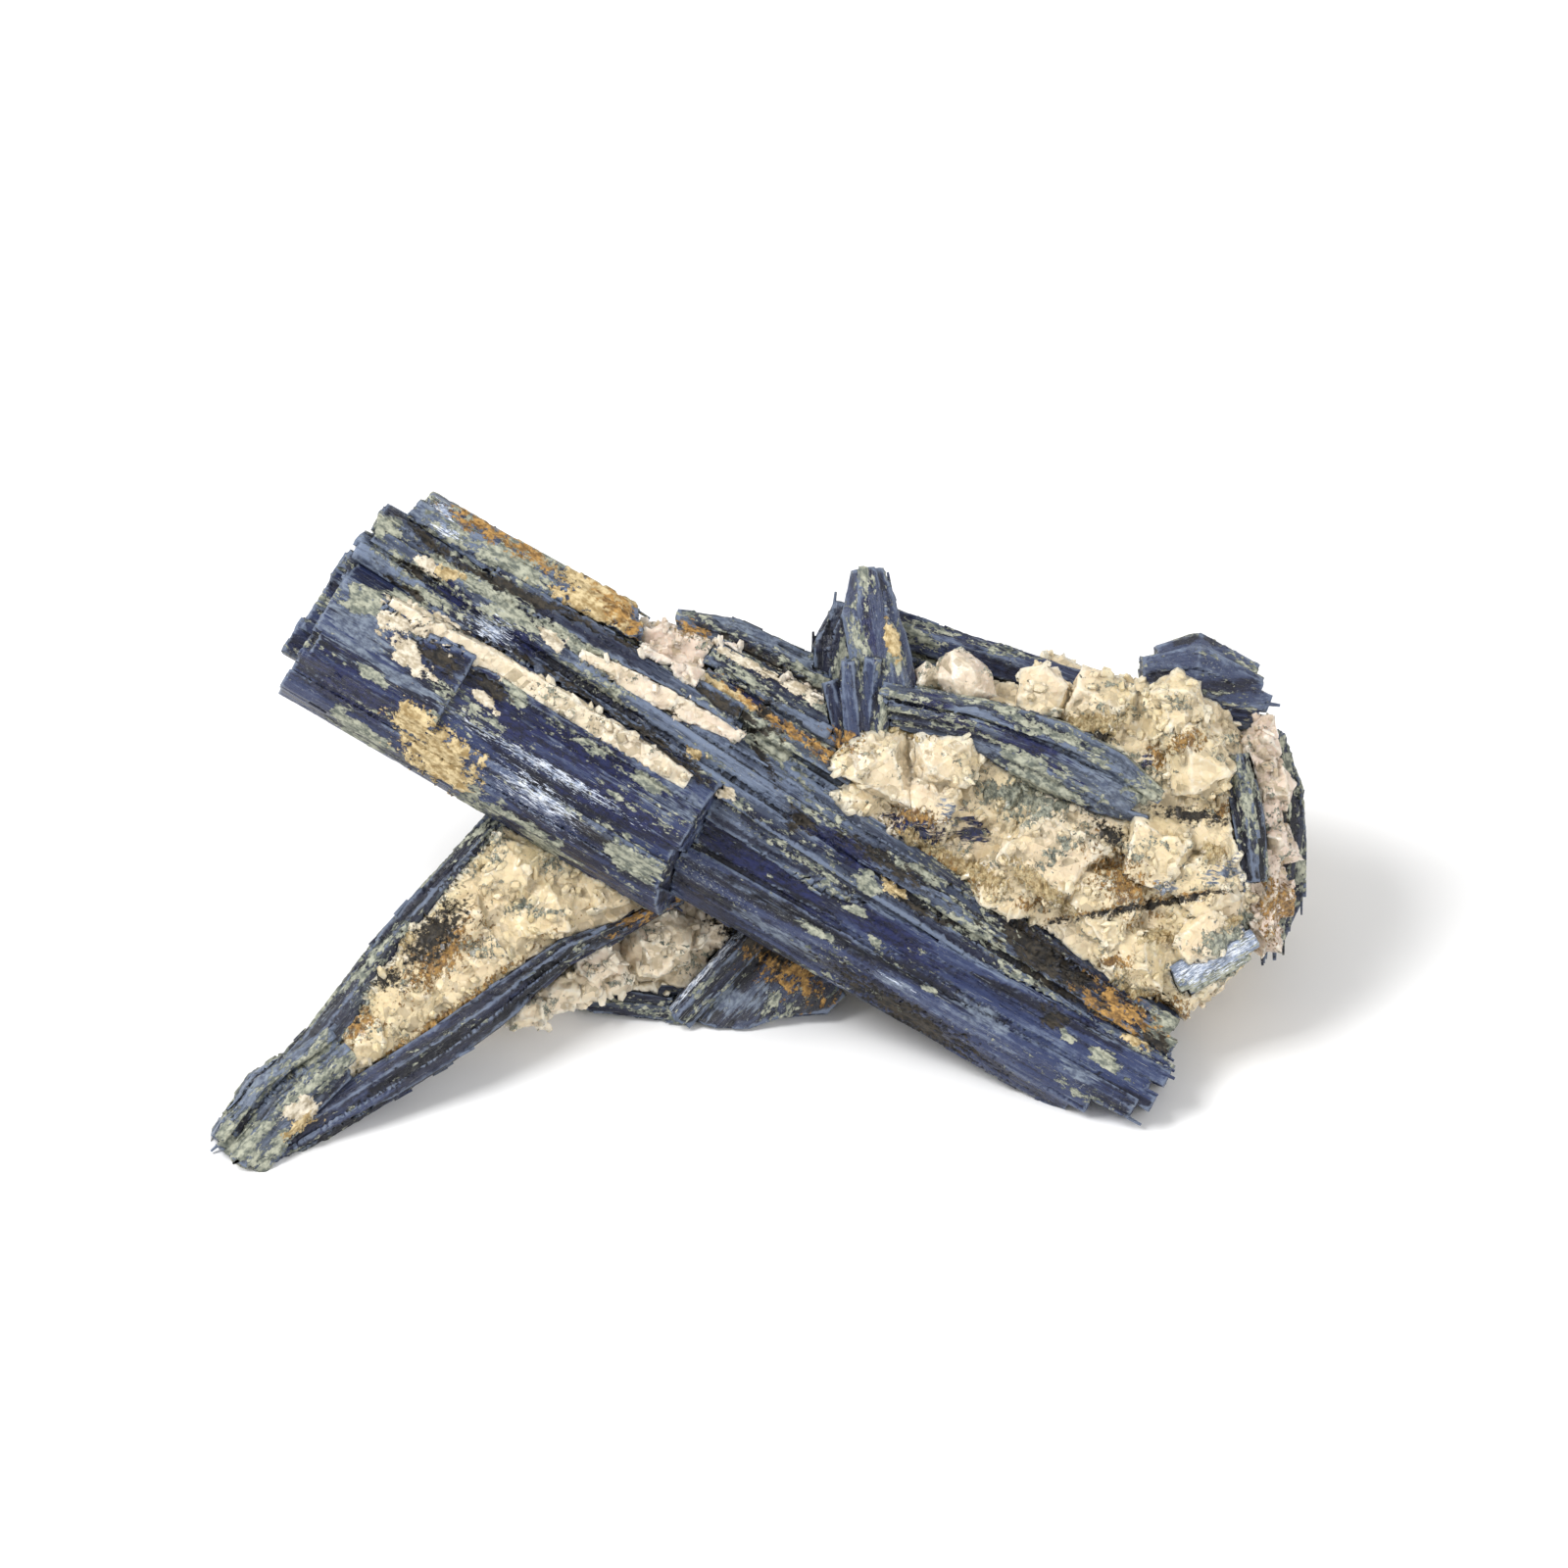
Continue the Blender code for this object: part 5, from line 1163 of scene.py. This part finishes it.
def kept_inside(mesh):
    """Brings each point that is past the frame's box back to it."""
    points = np.empty(len(mesh.vertices) * 3, dtype=np.float32)
    mesh.vertices.foreach_get("co", points)
    points = np.clip(points.reshape(-1, 3), np.array(CAD_LOW), np.array(CAD_HIGH))
    mesh.vertices.foreach_set("co", points.ravel())
    mesh.update()


def dress(node, path, base_crust, relief, inputs, material):
    """Covers one node with its broken, coloured surface."""
    sizes = bpy.context.scene.kyanite_sizes
    pitch = PITCHES[node] * MM if node in PITCHES else sizes.pitch
    thing = remeshed(node, pitch, sizes.swell)
    mesh = thing.data
    points, facing = vertex_arrays(mesh)
    store(mesh, "grain", grain_coordinates(points, path) if path else points)
    for kind, values in patch_values(points, facing, node).items():
        if kind == "pale":
            values = np.maximum(values, base_crust)
        store(mesh, kind, values)
    modifier = thing.modifiers.new("relief", "NODES")
    modifier.node_group = relief
    sockets = {item.name: item.identifier for item in relief.interface.items_tree
               if item.item_type == "SOCKET" and item.in_out == "INPUT"}
    for name, value in {**inputs, "Material": material}.items():
        modifier[sockets[name]] = value[:] if isinstance(value, Vector) else value
    kept_inside(evaluated_mesh(thing))
    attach(thing, ROOT)
    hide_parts(node)
    return thing


class KYANITE_OT_skins(bpy.types.Operator):
    """Build the shared groups of crusts, kyanite and quartz"""

    bl_idname = "kyanite.skins"
    bl_label = "Stone finishes"

    def execute(self, context):
        overlays_group()
        kyanite_group()
        quartz_group()
        kyanite_relief()
        quartz_relief()
        return {"FINISHED"}


class KYANITE_OT_blades(bpy.types.Operator):
    """Dress the kyanite blades"""

    bl_idname = "kyanite.blades"
    bl_label = "Kyanite blades"

    def execute(self, context):
        sizes = context.scene.kyanite_sizes
        colours = context.scene.kyanite_colours
        for i, (node, blade) in enumerate(BLADES.items()):
            share = blade.blue
            blue = [share * b + (1 - share) * g for b, g in zip(colours.blue, colours.grey)]
            values = {
                "Seed": 3.0 * i, "Light": blade.light, "Blue": blue, "Lath": "lath",
                "Dark Streak": colours.dark[:], "Light Streak": colours.light[:],
            }
            streaks = bpy.data.node_groups["Kyanite streaks"]
            material = stone_material(node + "_stone", streaks, values, KYANITE_BUMP, 1.0, {})
            inputs = {
                "Lath Width": sizes.lath_width, "Lath Length": sizes.lath_length,
                "Step": sizes.step, "Rough": blade.rough, "Seed": 7.3 * i,
                "Splinters": sizes.splinters * blade.rough, "Axis": heading(blade.path),
            }
            relief = bpy.data.node_groups["Kyanite relief"]
            dress(node, blade.path, blade.crust, relief, inputs, material)
        return {"FINISHED"}


class KYANITE_OT_quartz(bpy.types.Operator):
    """Dress the masses, veins and grains of quartz"""

    bl_idname = "kyanite.quartz"
    bl_label = "Quartz"

    def execute(self, context):
        sizes = context.scene.kyanite_sizes
        colours = context.scene.kyanite_colours
        for i, (node, quartz) in enumerate(QUARTZES.items()):
            values = {
                "Warm": quartz.warm, "Pink": quartz.pink, "Quartz": colours.quartz[:],
                "Warm Quartz": colours.warm[:], "Pink Quartz": colours.pink[:],
                "Clear Quartz": colours.shade[:],
            }
            grains = bpy.data.node_groups["Quartz grains"]
            material = stone_material(
                node + "_stone", grains, values, QUARTZ_BUMP, QUARTZ_SQUEEZE, QUARTZ_GLOSS)
            inputs = {
                "Depth": sizes.facet_depth * quartz.rough,
                "Crumbs": sizes.crumbs * quartz.rough ** 3,
                "Seed": 5.0 * i,
            }
            relief = bpy.data.node_groups["Quartz relief"]
            dress(node, None, QUARTZ_CRUST, relief, inputs, material)
        return {"FINISHED"}


def area_light(name, place, size, power):
    """A soft square light at this place that faces the lit point."""
    light = bpy.data.lights.new(name, "AREA")
    light.shape = "SQUARE"
    light.size = size
    light.energy = power
    thing = bpy.data.objects.new(name, light)
    thing.location = place
    thing.rotation_euler = (Vector(LIT_POINT) - Vector(place)).to_track_quat("-Z", "Y").to_euler()
    bpy.context.scene.collection.objects.link(thing)


class KYANITE_OT_studio(bpy.types.Operator):
    """Set the pale floor, the soft lights and the camera"""

    bl_idname = "kyanite.studio"
    bl_label = "Studio"

    def execute(self, context):
        scene = context.scene
        studio = scene.kyanite_studio
        bpy.ops.mesh.primitive_plane_add(size=FLOOR_WIDTH)
        floor = context.active_object
        floor.name = "floor"
        paint = bpy.data.materials.new("floor_paint")
        paint.use_nodes = True
        shader = paint.node_tree.nodes["Principled BSDF"]
        shader.inputs["Base Color"].default_value = (0.9, 0.9, 0.9, 1.0)
        shader.inputs["Roughness"].default_value = 0.9
        floor.data.materials.append(paint)
        world = bpy.data.worlds.new("studio")
        world.use_nodes = True
        world.node_tree.nodes["Background"].inputs["Color"].default_value = (1, 1, 1, 1)
        world.node_tree.nodes["Background"].inputs["Strength"].default_value = studio.sky
        scene.world = world
        area_light("key", *KEY_LIGHT, studio.key_power)
        area_light("fill", *FILL_LIGHT, studio.fill_power)
        scene.view_settings.view_transform = "Standard"
        camera = bpy.data.cameras.new("camera")
        camera.lens = studio.lens
        camera.clip_start = 0.01
        thing = bpy.data.objects.new("camera", camera)
        thing.matrix_world = FACE @ Matrix.Translation((*CAMERA_SHIFT, studio.distance))
        scene.collection.objects.link(thing)
        scene.camera = thing
        return {"FINISHED"}


class KYANITE_PT_panel(bpy.types.Panel):
    """The steps that dress the specimen"""

    bl_label = "Kyanite"
    bl_idname = "KYANITE_PT_panel"
    bl_space_type = "VIEW_3D"
    bl_region_type = "UI"
    bl_category = "Kyanite"

    def draw(self, context):
        for group in (context.scene.kyanite_sizes, context.scene.kyanite_colours,
                      context.scene.kyanite_studio):
            for name in group.__annotations__:
                self.layout.prop(group, name)
        for step in STEPS:
            self.layout.operator(step.bl_idname)


STEPS = (KYANITE_OT_skins, KYANITE_OT_blades, KYANITE_OT_quartz, KYANITE_OT_studio)
GROUPS = {
    "kyanite_sizes": KyaniteSizes,
    "kyanite_colours": KyaniteColours,
    "kyanite_studio": KyaniteStudio,
}


def register():
    """Adds the classes and the scene's three groups of values."""
    for cls in (*GROUPS.values(), *STEPS, KYANITE_PT_panel):
        bpy.utils.register_class(cls)
    for name, cls in GROUPS.items():
        setattr(bpy.types.Scene, name, bpy.props.PointerProperty(type=cls))


def unregister():
    """Takes them away again."""
    for name in GROUPS:
        delattr(bpy.types.Scene, name)
    for cls in (KYANITE_PT_panel, *reversed(STEPS), *reversed(GROUPS.values())):
        bpy.utils.unregister_class(cls)


def main():
    """Runs every step."""
    register()
    bpy.ops.kyanite.skins()
    bpy.ops.kyanite.blades()
    bpy.ops.kyanite.quartz()
    bpy.ops.kyanite.studio()


if __name__ == "__main__":
    main()
